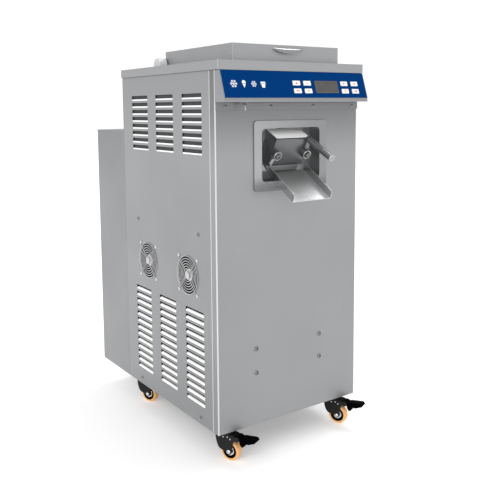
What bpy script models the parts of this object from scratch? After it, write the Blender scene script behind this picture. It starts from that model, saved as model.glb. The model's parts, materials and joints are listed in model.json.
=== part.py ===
"""A stainless batch freezer on four casters: a sheet-metal cabinet with a motor housing behind it, a
hopper with a hinged lid on top, a sloping control panel, and a discharge door with a swinging gate, a
handle and a chute. The freezing cylinder, dasher, belt drive and refrigeration set are inside.

Every length below is in millimetres; the object builder turns it into Blender's metres. A place is
(x, depth, height): x from the middle plane to the right, depth behind the front panel's face, and height
above the panels' lower edge. The part's origin is on the floor, in the middle of its bounding box, and
the front faces -Y."""

import math

import bpy
from mathutils import Matrix, Vector

MM = 0.001
GAP = 0.4  # left between pieces that touch
SHEET = 2.0

# Cabinet
HALF_WIDTH = 265.0
DEPTH = 570.0
PANEL_TOP = 1035.5
FLOOR_DROP = 95.0  # from the panels' lower edge to the floor
CORNER_RETURN = 26.6
REAR_DEPTH = 791.0
REAR_TOP = 860.0

# Top cover, hopper and lid
COVER_SIDE = 4.0
COVER_FRONT = -22.0
COVER_REAR = 573.0
COVER_TOP = 1062.2
HOPPER_X = 190.0
HOPPER_FRONT, HOPPER_REAR = 18.0, 384.0
HOPPER_FLOOR, HOPPER_RIM = 935.0, 1090.0
LID_X = 196.2
LID_FRONT, LID_REAR = 13.0, 390.6
LID_TOP = 1112.4
LID_AXIS_DEPTH, LID_AXIS_HEIGHT = 396.0, 1072.0
HINGE_ROD_RADIUS = 4.5
HINGE_CAP_RADIUS = 21.0

# Sloping control housing
HOUSING_TOP = 1035.2
HOUSING_LIP = -22.0
HOUSING_NOSE = (-46.5, 959.5)
HOUSING_CHIN = (-47.0, 948.5)
FILM_HEIGHT = 79.0
KEY_SIZE = (27.0, 14.0)
KEY_COLUMNS = (-7.5, 32.3, 176.8, 218.5)
KEY_ROWS = (-35.4, -58.8)
KEY_PROUD = 2.4
DISPLAY_X = (62.0, 148.4)
DISPLAY_Y = (-63.8, -29.0)
TOGGLE = (-183.0, -24.0)

# Discharge
BEZEL_OUTER = (135.5, 693.0, 896.0)
BEZEL_INNER = (108.3, 721.0, 874.0)
BEZEL_BACK = 45.0
GATE_PITCH = math.radians(27.0)
GATE_TOP_EDGE = (0.0, -8.0, 844.0)
GATE_HALF_WIDTH = 62.0
GATE_DROP = 88.0
BOSS_X, BOSS_DROP, BOSS_RADIUS = 55.0, 46.0, 14.0
HANDLE_X, HANDLE_DROP = 57.0, 2.0
HANDLE_RADIUS, HANDLE_END = 10.2, 122.0
CHUTE_PITCH = math.radians(32.0)
CHUTE_TIP = (0.0, -94.0, 668.0)
CHUTE_HALF_WIDTH, CHUTE_LENGTH, CHUTE_WALL = 70.5, 143.0, 24.0

# Freezing cylinder, dasher and belt drive
CYLINDER_HEIGHT = 798.0
CYLINDER_FRONT, CYLINDER_REAR = 52.0, 440.0
CYLINDER_BORE, CYLINDER_OUTER = 65.0, 75.0
SHAFT_RADIUS = 11.0
PULLEY_DEPTHS = (592.0, 618.0)
DRIVEN_RADIUS, MOTOR_PULLEY_RADIUS = 52.0, 28.0
MOTOR_HEIGHT, MOTOR_RADIUS = 140.0, 70.0
BELT_THICKNESS = 5.0

# Side louvres and fans
LOUVRE_DEPTHS = (123.0, 285.0, 447.0)
LOUVRE_PITCH = 22.65
UPPER_LOUVRE = {"width": 109.0, "height": 16.0, "top": 975.0, "rows": 8}
LOWER_LOUVRE = {"width": 104.0, "height": 15.0, "top": 343.0, "rows": 13}
REAR_LOUVRE = {"width": 104.0, "height": 15.0, "top": 760.0, "rows": 10}
FAN_DEPTHS = {"front": 159.0, "rear": 411.0}
FAN_HEIGHT = 440.0
FAN_SIZE, FAN_THICKNESS, FAN_BORE = 120.0, 25.0, 56.5

# Casters: the local forward direction points from the swivel towards the brake pedal
CASTER_X = 212.0
CASTER_DEPTHS = {"front": 32.0, "rear": 541.0}
CASTER_TURN = math.radians(25.0)
WHEEL_RADIUS, WHEEL_HALF_WIDTH = 30.0, 12.0
AXLE_RADIUS = 4.0
TRAIL = 12.0
PEDAL_PIVOT = (40.0, -23.0)

X_AXIS, Y_AXIS, Z_AXIS = Vector((1, 0, 0)), Vector((0, 1, 0)), Vector((0, 0, 1))


def clear_scene():
    for found in list(bpy.data.objects):
        bpy.data.objects.remove(found, do_unlink=True)


# ---------------------------------------------------------------- shapes: (points, faces) in millimetres


def basis(origin, right, up):
    """Local x runs right, local y runs up and local z points out of the plane that holds both."""
    right, up = Vector(right).normalized(), Vector(up).normalized()
    out = right.cross(up)
    rows = [[right[i], up[i], out[i], origin[i]] for i in range(3)]
    return Matrix(rows + [[0, 0, 0, 1]])


def along_x(x, depth, height):
    return basis((x, depth, height), Y_AXIS, Z_AXIS)


def along_depth(x, depth, height):
    return basis((x, depth, height), X_AXIS, -Z_AXIS)


def moved(shape, matrix):
    points, faces = shape
    return [matrix @ Vector(point) for point in points], faces


def joined(shapes):
    """Several shapes that don't touch, as one shape."""
    points, faces = [], []
    for more_points, more_faces in shapes:
        start = len(points)
        points = points + list(more_points)
        faces = faces + [tuple(start + i for i in face) for face in more_faces]
    return points, faces


def prism(outline, axis, low, high):
    """An outline in the plane across the axis, drawn out from low to high."""
    place = {
        "x": lambda a, b, c: (c, a, b),
        "y": lambda a, b, c: (a, c, b),
        "z": lambda a, b, c: (a, b, c),
    }[axis]
    count = len(outline)
    points = [place(a, b, level) for level in (low, high) for a, b in outline]
    sides = [(i, (i + 1) % count, count + (i + 1) % count, count + i) for i in range(count)]
    return points, [tuple(range(count))[::-1], tuple(range(count, 2 * count))] + sides


def box(x_span, y_span, z_span):
    (x0, x1), (y0, y1) = x_span, y_span
    return prism([(x0, y0), (x1, y0), (x1, y1), (x0, y1)], "z", *z_span)


def turned(profile, segments):
    """A closed profile of (radius, height) turned round the local z axis."""
    rings, points, faces = [], [], []
    for radius, height in profile:
        if radius < 1e-6:
            rings.append([len(points)] * segments)
            points.append((0.0, 0.0, height))
            continue
        rings.append(list(range(len(points), len(points) + segments)))
        for step in range(segments):
            angle = math.tau * step / segments
            points.append((radius * math.cos(angle), radius * math.sin(angle), height))
    for here, after in zip(rings, rings[1:] + rings[:1]):
        for i in range(segments):
            j = (i + 1) % segments
            corners = [here[i], here[j], after[j], after[i]]
            face = tuple(dict.fromkeys(corners))
            if len(face) > 2:
                faces.append(face)
    return points, faces


def rod(radius, low, high, segments=24):
    return turned([(0, low), (radius, low), (radius, high), (0, high)], segments)


def pipe(outer, inner, low, high, segments=32):
    return turned([(inner, low), (outer, low), (outer, high), (inner, high)], segments)


def arc(centre, radius, start, end, steps):
    """Points on an arc; the angles are in degrees."""
    angles = [math.radians(start + (end - start) * i / steps) for i in range(steps + 1)]
    return [(centre[0] + radius * math.cos(a), centre[1] + radius * math.sin(a)) for a in angles]


def rounded_rectangle(x_span, y_span, radius, steps=4):
    (x0, x1), (y0, y1) = x_span, y_span
    corners = [(x1 - radius, y0 + radius, -90), (x1 - radius, y1 - radius, 0)]
    corners += [(x0 + radius, y1 - radius, 90), (x0 + radius, y0 + radius, 180)]
    return [point for x, y, start in corners for point in arc((x, y), radius, start, start + 90, steps)]


# ---------------------------------------------------------------- objects


def material(name, colour, metallic, roughness):
    made = bpy.data.materials.new(name)
    made.use_nodes = True
    made.diffuse_color = (*colour, 1.0)
    shader = made.node_tree.nodes["Principled BSDF"]
    shader.inputs["Base Color"].default_value = (*colour, 1.0)
    shader.inputs["Metallic"].default_value = metallic
    shader.inputs["Roughness"].default_value = roughness
    return made


def make_materials():
    table = {
        "steel": ((0.38, 0.39, 0.4), 1.0, 0.38),
        "polished_steel": ((0.55, 0.56, 0.57), 1.0, 0.2),
        "black_steel": ((0.02, 0.02, 0.022), 0.2, 0.5),
        "blue_film": ((0.0, 0.05, 0.2), 0.0, 0.35),
        "display": ((0.1, 0.1, 0.1), 0.0, 0.2),
        "white_plastic": ((0.85, 0.85, 0.84), 0.0, 0.45),
        "circuit_board": ((0.02, 0.16, 0.06), 0.0, 0.5),
        "black_plastic": ((0.02, 0.02, 0.02), 0.0, 0.5),
        "tyre": ((0.86, 0.5, 0.2), 0.0, 0.45),
        "black_rubber": ((0.03, 0.03, 0.03), 0.0, 0.8),
        "copper": ((0.7, 0.35, 0.2), 1.0, 0.35),
        "motor_paint": ((0.1, 0.16, 0.22), 0.3, 0.5),
        "brass": ((0.75, 0.55, 0.25), 1.0, 0.3),
    }
    return {name: material(name, *values) for name, values in table.items()}


def outward(shape):
    """The same shape with its faces turned out."""
    points, faces = shape
    volume = 0.0
    for face in faces:
        first = Vector(points[face[0]])
        for second, third in zip(face[1:], face[2:]):
            volume += first.dot(Vector(points[second]).cross(Vector(points[third])))
    return (points, faces) if volume > 0 else (points, [face[::-1] for face in faces])


def mesh_object(name, shape):
    points, faces = outward(shape)
    mesh = bpy.data.meshes.new(name)
    mesh.from_pydata([tuple(point) for point in points], [], faces)
    made = bpy.data.objects.new(name, mesh)
    bpy.context.scene.collection.objects.link(made)
    return made


def combine(target, shape, operation):
    tool = mesh_object("tool", shape)
    modifier = target.modifiers.new("combine", "BOOLEAN")
    modifier.operation = operation
    modifier.solver = "EXACT"
    modifier.object = tool
    graph = bpy.context.evaluated_depsgraph_get()
    result = bpy.data.meshes.new_from_object(target.evaluated_get(graph))
    target.modifiers.remove(modifier)
    old = target.data
    target.data = result
    bpy.data.meshes.remove(old)
    bpy.data.objects.remove(tool, do_unlink=True)


def piece(name, finish, shape, add=(), cut=(), pivot=(0, 0, 0), frame=None):
    """One sub-part: a shape with others added to it and cut from it. They are drawn in the given frame,
    where the Booleans work on straight walls, and the pivot there becomes the object's origin."""
    made = mesh_object(name, shape)
    for other in add:
        combine(made, other, "UNION")
    for other in cut:
        combine(made, other, "DIFFERENCE")
    made.data.name = name
    made.data.materials.clear()
    made.data.materials.append(FINISH[finish])
    made.data.shade_smooth()
    made.data.set_sharp_from_angle(angle=math.radians(35.0))
    stand = Matrix.Scale(MM, 4) @ Matrix.Translation((0, -MIDDLE_DEPTH, FLOOR_DROP))
    whole = stand @ (frame or Matrix.Identity(4))
    made.data.transform(whole)
    origin = whole @ Vector(pivot)
    made.data.transform(Matrix.Translation(-origin))
    made.location = origin
    return made


# ---------------------------------------------------------------- cabinet


def louvre_slots(columns, layout, make_box):
    """The slots of several columns of louvres, as one cutter."""
    slots = []
    for middle in columns:
        for row in range(layout["rows"]):
            top = layout["top"] - row * LOUVRE_PITCH
            half = layout["width"] / 2
            slots.append(make_box((middle - half, middle + half), (top - layout["height"], top)))
    return joined(slots)


def side_panel(name, side, fans):
    outer, inner = side * HALF_WIDTH, side * (HALF_WIDTH - SHEET)
    span = (min(outer, inner), max(outer, inner))
    through = (span[0] - 1, span[1] + 1)
    plate = box(span, (CORNER_RETURN + GAP, DEPTH - SHEET - GAP), (0, PANEL_TOP))
    cut = [
        louvre_slots(LOUVRE_DEPTHS, layout, lambda across, up: box(through, across, up))
        for layout in (UPPER_LOUVRE, LOWER_LOUVRE)
    ]
    for depth in fans:
        cut.append(moved(rod(FAN_BORE, -4, 4, 32), along_x(side * HALF_WIDTH, depth, FAN_HEIGHT)))
    piece(name, "steel", plate, cut=cut)


def front_panel():
    outer, inner = HALF_WIDTH, HALF_WIDTH - SHEET
    outline = [(-outer, 0), (outer, 0), (outer, CORNER_RETURN), (inner, CORNER_RETURN), (inner, SHEET)]
    outline += [(-inner, SHEET), (-inner, CORNER_RETURN), (-outer, CORNER_RETURN)]
    half, low, high = BEZEL_INNER
    opening = box((-half - 2, half + 2), (-5, 5), (low - 2, high + 2))
    piece("front_panel", "steel", prism(outline, "z", 0, PANEL_TOP), cut=[opening])


def back_panel():
    plate = box((-HALF_WIDTH, HALF_WIDTH), (DEPTH - SHEET, DEPTH), (0, PANEL_TOP))
    shaft_hole = moved(rod(SHAFT_RADIUS + 4, -5, 5), along_depth(0, DEPTH, CYLINDER_HEIGHT))
    piece("back_panel", "steel", plate, cut=[shaft_hole])


def rear_housing():
    front = DEPTH + GAP
    shell = box((-HALF_WIDTH, HALF_WIDTH), (front, REAR_DEPTH), (0, REAR_TOP))
    inner = HALF_WIDTH - SHEET
    hollow = box((-inner, inner), (front - 5, REAR_DEPTH - SHEET), (SHEET, REAR_TOP - SHEET))
    wall = (REAR_DEPTH - SHEET - 1, REAR_DEPTH + 1)
    slots = louvre_slots((-120.0, 120.0), REAR_LOUVRE, lambda across, up: box(across, wall, up))
    gland_hole = moved(rod(8.5, -5, 5), basis((150, 700, 0), X_AXIS, Y_AXIS))
    piece("rear_housing", "steel", shell, cut=[hollow, slots, gland_hole])


def base_plate():
    half = HALF_WIDTH - SHEET - 0.6
    plate = box((-half, half), (SHEET + 0.8, DEPTH - SHEET - 0.8), (3, 6))
    pads = [
        box((x - 23, x + 23), (depth - 23, depth + 23), (-4, 4))
        for x in (-CASTER_X, CASTER_X)
        for depth in CASTER_DEPTHS.values()
    ]
    piece("base_plate", "black_steel", plate, add=pads)


def top_cover():
    x = HALF_WIDTH + COVER_SIDE
    low = PANEL_TOP + GAP
    shell = box((-x, x), (COVER_FRONT, COVER_REAR), (low, COVER_TOP))
    hollow = box(
        (-x + SHEET, x - SHEET), (COVER_FRONT + SHEET, COVER_REAR - SHEET), (low - 5, COVER_TOP - SHEET)
    )
    well = box(
        (-HOPPER_X - 1, HOPPER_X + 1), (HOPPER_FRONT - 1, HOPPER_REAR + 1), (low - 5, COVER_TOP + 5)
    )
    piece("top_cover", "steel", shell, cut=[hollow, well])


def cabinet():
    side_panel("left_side_panel", -1, FAN_DEPTHS.values())
    side_panel("right_side_panel", 1, ())
    front_panel()
    back_panel()
    rear_housing()
    base_plate()
    top_cover()


# ---------------------------------------------------------------- hopper and lid


def hopper():
    tank = box((-HOPPER_X, HOPPER_X), (HOPPER_FRONT, HOPPER_REAR), (HOPPER_FLOOR, HOPPER_RIM))
    reach = 3.5
    flange = box(
        (-HOPPER_X - reach, HOPPER_X + reach),
        (HOPPER_FRONT - reach + 1, HOPPER_REAR + reach),
        (COVER_TOP + GAP, COVER_TOP + GAP + SHEET),
    )
    inner = HOPPER_X - SHEET
    hollow = box(
        (-inner, inner), (HOPPER_FRONT + SHEET, HOPPER_REAR - SHEET), (HOPPER_FLOOR + SHEET, HOPPER_RIM + 5)
    )
    outlet = basis((0, 100, 0), X_AXIS, Y_AXIS)
    low = CYLINDER_HEIGHT + CYLINDER_OUTER + 1
    spout = moved(rod(15, low, HOPPER_FLOOR + 1), outlet)
    bore = moved(rod(11, low - 5, HOPPER_FLOOR + 5), outlet)
    piece("hopper", "steel", tank, add=[flange, spout], cut=[hollow, bore])


def hopper_lid():
    low = COVER_TOP + 0.6
    shell = box((-LID_X, LID_X), (LID_FRONT, LID_REAR), (low, LID_TOP))
    inner = LID_X - SHEET
    hollow = box((-inner, inner), (LID_FRONT + SHEET, LID_REAR - SHEET), (low - 5, LID_TOP - SHEET))
    axis = (LID_AXIS_DEPTH, LID_AXIS_HEIGHT)
    knuckles = [moved(rod(8.4, x - 16, x + 16, 16), along_x(0, *axis)) for x in (-130, 130)]
    bore = moved(rod(HINGE_ROD_RADIUS + 0.3, -170, 170, 16), along_x(0, *axis))
    pivot = (0, *axis)
    piece("hopper_lid", "steel", shell, add=knuckles, cut=[hollow, bore], pivot=pivot)
    lid_pull(pivot)


def lid_pull(pivot):
    """A lens-shaped lip across the lid's front, hollow underneath for the fingers."""
    half, reach = 56.0, 14.0
    radius = (half * half + reach * reach) / (2 * reach)
    spread = math.degrees(math.asin(half / radius))
    face = LID_FRONT - GAP

    def lens(shrink):
        centre = (0, face + radius - reach)
        return arc(centre, radius - shrink, 270 - spread, 270 + spread, 12)

    shell = prism(lens(0), "z", 1088.6, 1104.0)
    inner = [point for point in lens(2.2) if abs(point[0]) < half - 6]
    scoop = prism(inner, "z", 1080, 1101.5)
    piece("lid_handle", "polished_steel", shell, cut=[scoop], pivot=pivot)


def lid_hinge():
    axis = (LID_AXIS_DEPTH, LID_AXIS_HEIGHT)
    piece("hinge_rod", "polished_steel", moved(rod(HINGE_ROD_RADIUS, -216, 216, 16), along_x(0, *axis)))
    below = box((-300, 300), (300, 500), (1000, COVER_TOP + GAP))
    for name, low, high in (("left", -227, -198.5), ("right", 198.5, 227)):
        drum = moved(rod(HINGE_CAP_RADIUS, low, high, 24), along_x(0, *axis))
        bore = moved(rod(HINGE_ROD_RADIUS + 0.3, -218, 218, 16), along_x(0, *axis))
        piece(f"hinge_cap_{name}", "white_plastic", drum, cut=[below, bore])


# ---------------------------------------------------------------- control housing


def control_face():
    """The frame of the sloping face: x right, y up the slope from its top edge, z out."""
    rise = Vector((0, HOUSING_LIP - HOUSING_NOSE[0], HOUSING_TOP - HOUSING_NOSE[1]))
    return basis((0, HOUSING_LIP, HOUSING_TOP), X_AXIS, rise)


def key_box(column, row, grow, low, high):
    half_x, half_y = KEY_SIZE[0] / 2 + grow, KEY_SIZE[1] / 2 + grow
    return box((column - half_x, column + half_x), (row - half_y, row + half_y), (low, high))


def control_housing():
    face = control_face()
    back = -GAP
    outline = [(back, HOUSING_TOP), (HOUSING_LIP, HOUSING_TOP), HOUSING_NOSE, HOUSING_CHIN]
    outline += [(back, HOUSING_CHIN[1])]
    wall = SHEET
    nose = (HOUSING_NOSE[0] + wall, HOUSING_NOSE[1] + 0.3)
    chin = (HOUSING_CHIN[0] + wall, HOUSING_CHIN[1] + wall)
    hollow = [(5, HOUSING_TOP - wall), (HOUSING_LIP + 1.4, HOUSING_TOP - wall), nose, chin, (5, chin[1])]
    inner = HALF_WIDTH - wall
    keys = joined([key_box(x, y, 0.6, -6, 6) for x in KEY_COLUMNS for y in KEY_ROWS])
    window = box(DISPLAY_X, DISPLAY_Y, (-6, 6))
    bush = moved(rod(6.2, -6, 6), basis((*TOGGLE, HOUSING_CHIN[1]), X_AXIS, Y_AXIS))
    piece(
        "control_housing",
        "steel",
        prism(outline, "x", -HALF_WIDTH, HALF_WIDTH),
        cut=[prism(hollow, "x", -inner, inner), moved(keys, face), moved(window, face), bush],
    )
    film = box((-264.5, 264.5), (-FILM_HEIGHT, -0.4), (0.3, 1.1))
    piece("control_film", "blue_film", film, cut=[keys, window], frame=face)
    lens_x = (DISPLAY_X[0] + 0.5, DISPLAY_X[1] - 0.5)
    lens_y = (DISPLAY_Y[0] + 0.5, DISPLAY_Y[1] - 0.5)
    piece("display_lens", "display", box(lens_x, lens_y, (-4, 1.6)), frame=face)
    board = box((-32, 240), (-72, -24), (-12, -10.2))
    piece("keypad_board", "circuit_board", board, frame=face)


def control_keys():
    face = control_face()
    number = 0
    for y in KEY_ROWS:
        for x in KEY_COLUMNS:
            number += 1
            shape = key_box(x, y, 0, -6.5, KEY_PROUD)
            piece(f"key_{number}", "white_plastic", shape, pivot=(x, y, 0), frame=face)


def toggle_switch():
    x, depth = TOGGLE
    seat = basis((x, depth, HOUSING_CHIN[1]), X_AXIS, Y_AXIS)
    body = box((-9, 9), (-12, 12), (2.5, 26))
    bush = rod(5.6, -6.5, 4, 20)
    bore = rod(4.0, -9, 1.5, 20)
    piece("toggle_switch", "black_plastic", body, add=[bush], cut=[bore], frame=seat)
    lean = seat @ Matrix.Translation((0, 0, -1.5)) @ Matrix.Rotation(math.radians(-12), 4, "X")
    lever = turned([(0, 1.8), (1.8, 1.2), (1.8, -7), (2.9, -20), (2.2, -22), (0, -22.4)], 12)
    piece("toggle_lever", "polished_steel", lever, frame=lean)


def clamp_strip():
    strip = box((-263, 263), (-4.6, -GAP), (927, 948))
    piece("clamp_strip", "steel", strip)


# ---------------------------------------------------------------- discharge


def gate_frame():
    """On the discharge door's sloping face: x right, y up the face from its top edge, z out."""
    up = (0, -math.sin(GATE_PITCH), math.cos(GATE_PITCH))
    return basis(GATE_TOP_EDGE, X_AXIS, up)


def discharge_bezel():
    half, low, high = BEZEL_OUTER
    inner, sill, head = BEZEL_INNER
    plate = prism(rounded_rectangle((-half, half), (low, high), 10), "y", -4, -GAP)
    wall = 1.5
    tunnel = box((-inner - wall, inner + wall), (-3, BEZEL_BACK), (sill - wall, head + wall))
    recess = prism(rounded_rectangle((-inner, inner), (sill, head), 12), "y", -6, BEZEL_BACK - wall)
    port = moved(rod(CYLINDER_OUTER - 0.4, -5, 5, 28), along_depth(0, BEZEL_BACK, CYLINDER_HEIGHT))
    piece("discharge_bezel", "polished_steel", plate, add=[tunnel], cut=[recess, port])


def discharge_door():
    """A casting that closes the cylinder, with a port behind the gate and the gate's pivot bolt."""
    frame = gate_frame()
    top = Vector(GATE_TOP_EDGE)
    foot = frame @ Vector((0, -GATE_DROP, 0))
    back = BEZEL_BACK - 2
    crest = top[2] + (back - top[1]) * math.tan(GATE_PITCH)
    outline = [(top[1], top[2]), (back, crest), (back, foot[2]), (foot[1], foot[2])]
    block = prism(outline, "x", -58, 58 + 6)
    disc = moved(
        rod(CYLINDER_OUTER - 1.2, back - 2.5, CYLINDER_FRONT - 1, 28), along_depth(0, 0, CYLINDER_HEIGHT)
    )
    pin = rod(5, -10, 26, 12)
    head = turned([(0, 25), (8, 25), (8, 30), (7, 31), (0, 31)], 16)
    seat = frame @ Matrix.Translation((BOSS_X, -BOSS_DROP, 0))
    port = box((-35, 35), (-40, CYLINDER_FRONT + 5), (776, 804))
    piece(
        "discharge_door",
        "polished_steel",
        block,
        add=[disc, moved(pin, seat), moved(head, seat)],
        cut=[port],
    )


def gate():
    frame = gate_frame()
    pivot = (BOSS_X, -BOSS_DROP, 0)
    half = GATE_HALF_WIDTH
    plate = box((-half, half + 4), (-GATE_DROP, -1), (0.5, 5))
    lip = box((-half, half - 20), (-GATE_DROP, -GATE_DROP + 3), (4, 11))
    ear = box((-half, -half + 3), (-GATE_DROP + 1, -52), (4, 11))
    bosses = [
        moved(rod(BOSS_RADIUS, 4, 24, 20), Matrix.Translation((x, -BOSS_DROP, 0)))
        for x in (-BOSS_X, BOSS_X)
    ]
    arm = box((HANDLE_X - 9, HANDLE_X + 7), (-BOSS_DROP, -HANDLE_DROP), (4.5, 12.5))
    socket = moved(rod(HANDLE_RADIUS, 4.2, 13, 20), Matrix.Translation((HANDLE_X, -HANDLE_DROP, 0)))
    bolt = moved(rod(7.5, 22, 28, 14), Matrix.Translation((-BOSS_X, -BOSS_DROP, 0)))
    bore = moved(rod(5.5, -5, 40, 14), Matrix.Translation((BOSS_X, -BOSS_DROP, 0)))
    add = [lip, ear, *bosses, arm, socket, bolt]
    piece("gate_plate", "polished_steel", plate, add=add, cut=[bore], pivot=pivot, frame=frame)
    profile = [(0, 13.4), (HANDLE_RADIUS, 13.4), (HANDLE_RADIUS, HANDLE_END - 1.5)]
    profile += [(HANDLE_RADIUS - 1.5, HANDLE_END), (0, HANDLE_END)]
    bar = moved(turned(profile, 20), Matrix.Translation((HANDLE_X, -HANDLE_DROP, 0)))
    piece("gate_handle", "polished_steel", bar, pivot=pivot, frame=frame)


def discharge_chute():
    up = (0, -math.sin(CHUTE_PITCH), math.cos(CHUTE_PITCH))
    frame = basis(CHUTE_TIP, X_AXIS, up)
    half, wall, back = CHUTE_HALF_WIDTH, SHEET, -CHUTE_LENGTH
    floor = box((-half, half), (0, wall), (back, 0))
    corner = [(z, y) for y, z in arc((CHUTE_WALL - 12, -12), 12, 0, 90, 5)]
    cheek = [(0, back), (CHUTE_WALL, back), *[(y, z) for z, y in corner], (0, 0)]
    cheeks = [prism(cheek, "x", low, low + wall) for low in (-half, half - wall)]
    piece("discharge_chute", "polished_steel", floor, add=cheeks, frame=frame)


# ---------------------------------------------------------------- freezing cylinder and drive


def freezing_cylinder():
    axis = along_depth(0, 0, CYLINDER_HEIGHT)
    front, rear, wall = CYLINDER_FRONT, CYLINDER_REAR, 8.0
    profile = [(CYLINDER_BORE, front), (CYLINDER_OUTER, front), (CYLINDER_OUTER, rear + wall)]
    profile += [(34, rear + wall), (34, rear + 45), (SHAFT_RADIUS + 1, rear + 45)]
    profile += [(SHAFT_RADIUS + 1, rear), (CYLINDER_BORE, rear)]
    inlet = moved(rod(11, 40, 90, 16), basis((0, 0, 100), X_AXIS, Z_AXIS))
    piece("freezing_cylinder", "steel", turned(profile, 28), cut=[inlet], frame=axis)
    shelf = box((-262, 262), (60, 560), (714, 717))
    saddles = [box((-62, 62), (depth, depth + 30), (716, 750)) for depth in (120, 350)]
    groove = moved(rod(CYLINDER_OUTER + 1, 100, 400, 28), axis)
    piece("cylinder_shelf", "steel", shelf, add=saddles, cut=[groove])


def dasher():
    axis = along_depth(0, 0, CYLINDER_HEIGHT)
    shaft = rod(SHAFT_RADIUS, 60, PULLEY_DEPTHS[0] - GAP, 20)
    blades = [box((-4, 4), (side * 58 - 5, side * 58 + 5), (64, 434)) for side in (-1, 1)]
    spiders = [box((-3, 3), (-56, 56), (z, z + 12)) for z in (70, 190, 310, 418)]
    piece("dasher", "polished_steel", shaft, add=blades + spiders, frame=axis)
    low, high = PULLEY_DEPTHS
    rim = [(0, low), (DRIVEN_RADIUS, low), (DRIVEN_RADIUS, high), (0, high)]
    piece("driven_pulley", "steel", turned(rim, 32), frame=axis)


def belt_outline(inner_offset):
    """The loop round both pulleys, in (x, height), at this distance outside their rims."""
    upper, lower = DRIVEN_RADIUS + inner_offset, MOTOR_PULLEY_RADIUS + inner_offset
    span = CYLINDER_HEIGHT - MOTOR_HEIGHT
    lean = math.degrees(math.asin((upper - lower) / span))
    top = arc((0, CYLINDER_HEIGHT), upper, -lean, 180 + lean, 20)
    bottom = arc((0, MOTOR_HEIGHT), lower, 180 + lean, 360 - lean, 14)
    return top + bottom


def belt_drive():
    low, high = PULLEY_DEPTHS
    loop = prism(belt_outline(GAP + BELT_THICKNESS), "y", low + 3, high - 3)
    inside = prism(belt_outline(GAP), "y", low - 5, high + 5)
    piece("drive_belt", "black_rubber", loop, cut=[inside])
    axis = along_depth(0, 0, MOTOR_HEIGHT)
    pulley = [(0, low), (MOTOR_PULLEY_RADIUS, low), (MOTOR_PULLEY_RADIUS, high)]
    pulley += [(8, high), (8, 652), (0, 652)]
    piece("motor_pulley", "steel", turned(pulley, 24), frame=axis)
    can = [(8.5, 636), (30, 636), (30, 642), (MOTOR_RADIUS, 646), (MOTOR_RADIUS, 758), (58, 772)]
    can += [(0, 772), (0, 658), (8.5, 658)]
    foot = box((-58, 58), (660, 750), (SHEET + GAP, MOTOR_HEIGHT - 50))
    motor = turned(can, 20)
    piece("drive_motor", "motor_paint", motor, add=[moved(foot, axis.inverted())], frame=axis)


# ---------------------------------------------------------------- refrigeration and electrics


def refrigeration():
    stand = basis((70, 300, 0), X_AXIS, Y_AXIS)
    can = [(0, 30), (78, 36), (84, 60), (84, 168), (70, 196), (30, 212), (0, 214)]
    plinth = box((-85, 85), (-70, 70), (6.4, 33))
    piece("compressor", "black_steel", turned(can, 20), add=[plinth], frame=stand)
    fins = [box((-228, -192), (y, y + 24), (346, 534)) for y in range(72, 500, 46)]
    core = box((-224, -196), (62, 508), (344, 536))
    piece("condenser", "copper", core, add=[joined(fins)])
    piece("electrical_box", "steel", box((190, 258), (120, 340), (540, 690)))
    gland = [(0, -20), (7, -20), (9, -16), (9, -6), (13, -6), (13, -GAP), (8, -GAP), (8, 8), (0, 8)]
    piece("cable_gland", "black_plastic", turned(gland, 14), frame=basis((150, 700, 0), X_AXIS, Y_AXIS))


def fan(position, depth):
    axis = along_x(0, depth, FAN_HEIGHT)
    low = -HALF_WIDTH + SHEET + GAP
    high = low + FAN_THICKNESS
    half = FAN_SIZE / 2
    case = box((-half, half), (-half, half), (low, high))
    duct = rod(FAN_BORE, low - 5, high - 3, 28)
    sectors = []
    for quarter in range(4):
        angle = quarter * 90
        outline = arc((0, 0), FAN_BORE - 1.5, angle + 5, angle + 85, 4)
        outline += arc((0, 0), 22, angle + 76, angle + 14, 2)
        sectors.append(prism(outline, "z", high - 5, high + 5))
    piece(f"fan_frame_{position}", "black_plastic", case, cut=[duct, joined(sectors)], frame=axis)
    hub = rod(19, low + 2, high - 4, 20)
    blades = []
    for number in range(7):
        turn = Matrix.Rotation(math.tau * number / 7, 4, "Z")
        tilt = turn @ Matrix.Translation((0, 0, (low + high) / 2 - 1)) @ Matrix.Rotation(0.62, 4, "X")
        blades.append(moved(box((16, 52), (-11, 11), (-1, 1)), tilt))
    piece(f"fan_rotor_{position}", "black_plastic", hub, add=blades, frame=axis)
    fan_guard(position, axis)


def fan_guard(position, axis):
    outer = -HALF_WIDTH - COVER_SIDE + 0.4
    inner = -HALF_WIDTH - GAP
    middle = (outer + inner) / 2
    hub = rod(13, outer + 0.5, inner - 0.5, 16)
    bar = box((-75, 75), (-3, 3), (middle - 1, middle + 1))
    bars = [moved(bar, Matrix.Rotation(math.radians(turn), 4, "Z")) for turn in (45, 135)]
    rim = pipe(58, 54, outer, inner, 28)
    piece(f"fan_guard_{position}", "polished_steel", rim, add=[*bars, hub], frame=axis)


# ---------------------------------------------------------------- casters


def caster_frame(x, depth):
    """At the swivel axis: local x across the wheel, local y forward towards the pedal, local z up."""
    forward = (math.sin(CASTER_TURN), -math.cos(CASTER_TURN), 0)
    across = (-math.cos(CASTER_TURN), -math.sin(CASTER_TURN), 0)
    return basis((x, depth, 0), across, forward)


def axle_line(height_point):
    """Across the wheel, through a point (forward, up) of the caster's middle plane."""
    return basis((0, *height_point), Y_AXIS, Z_AXIS)


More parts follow.
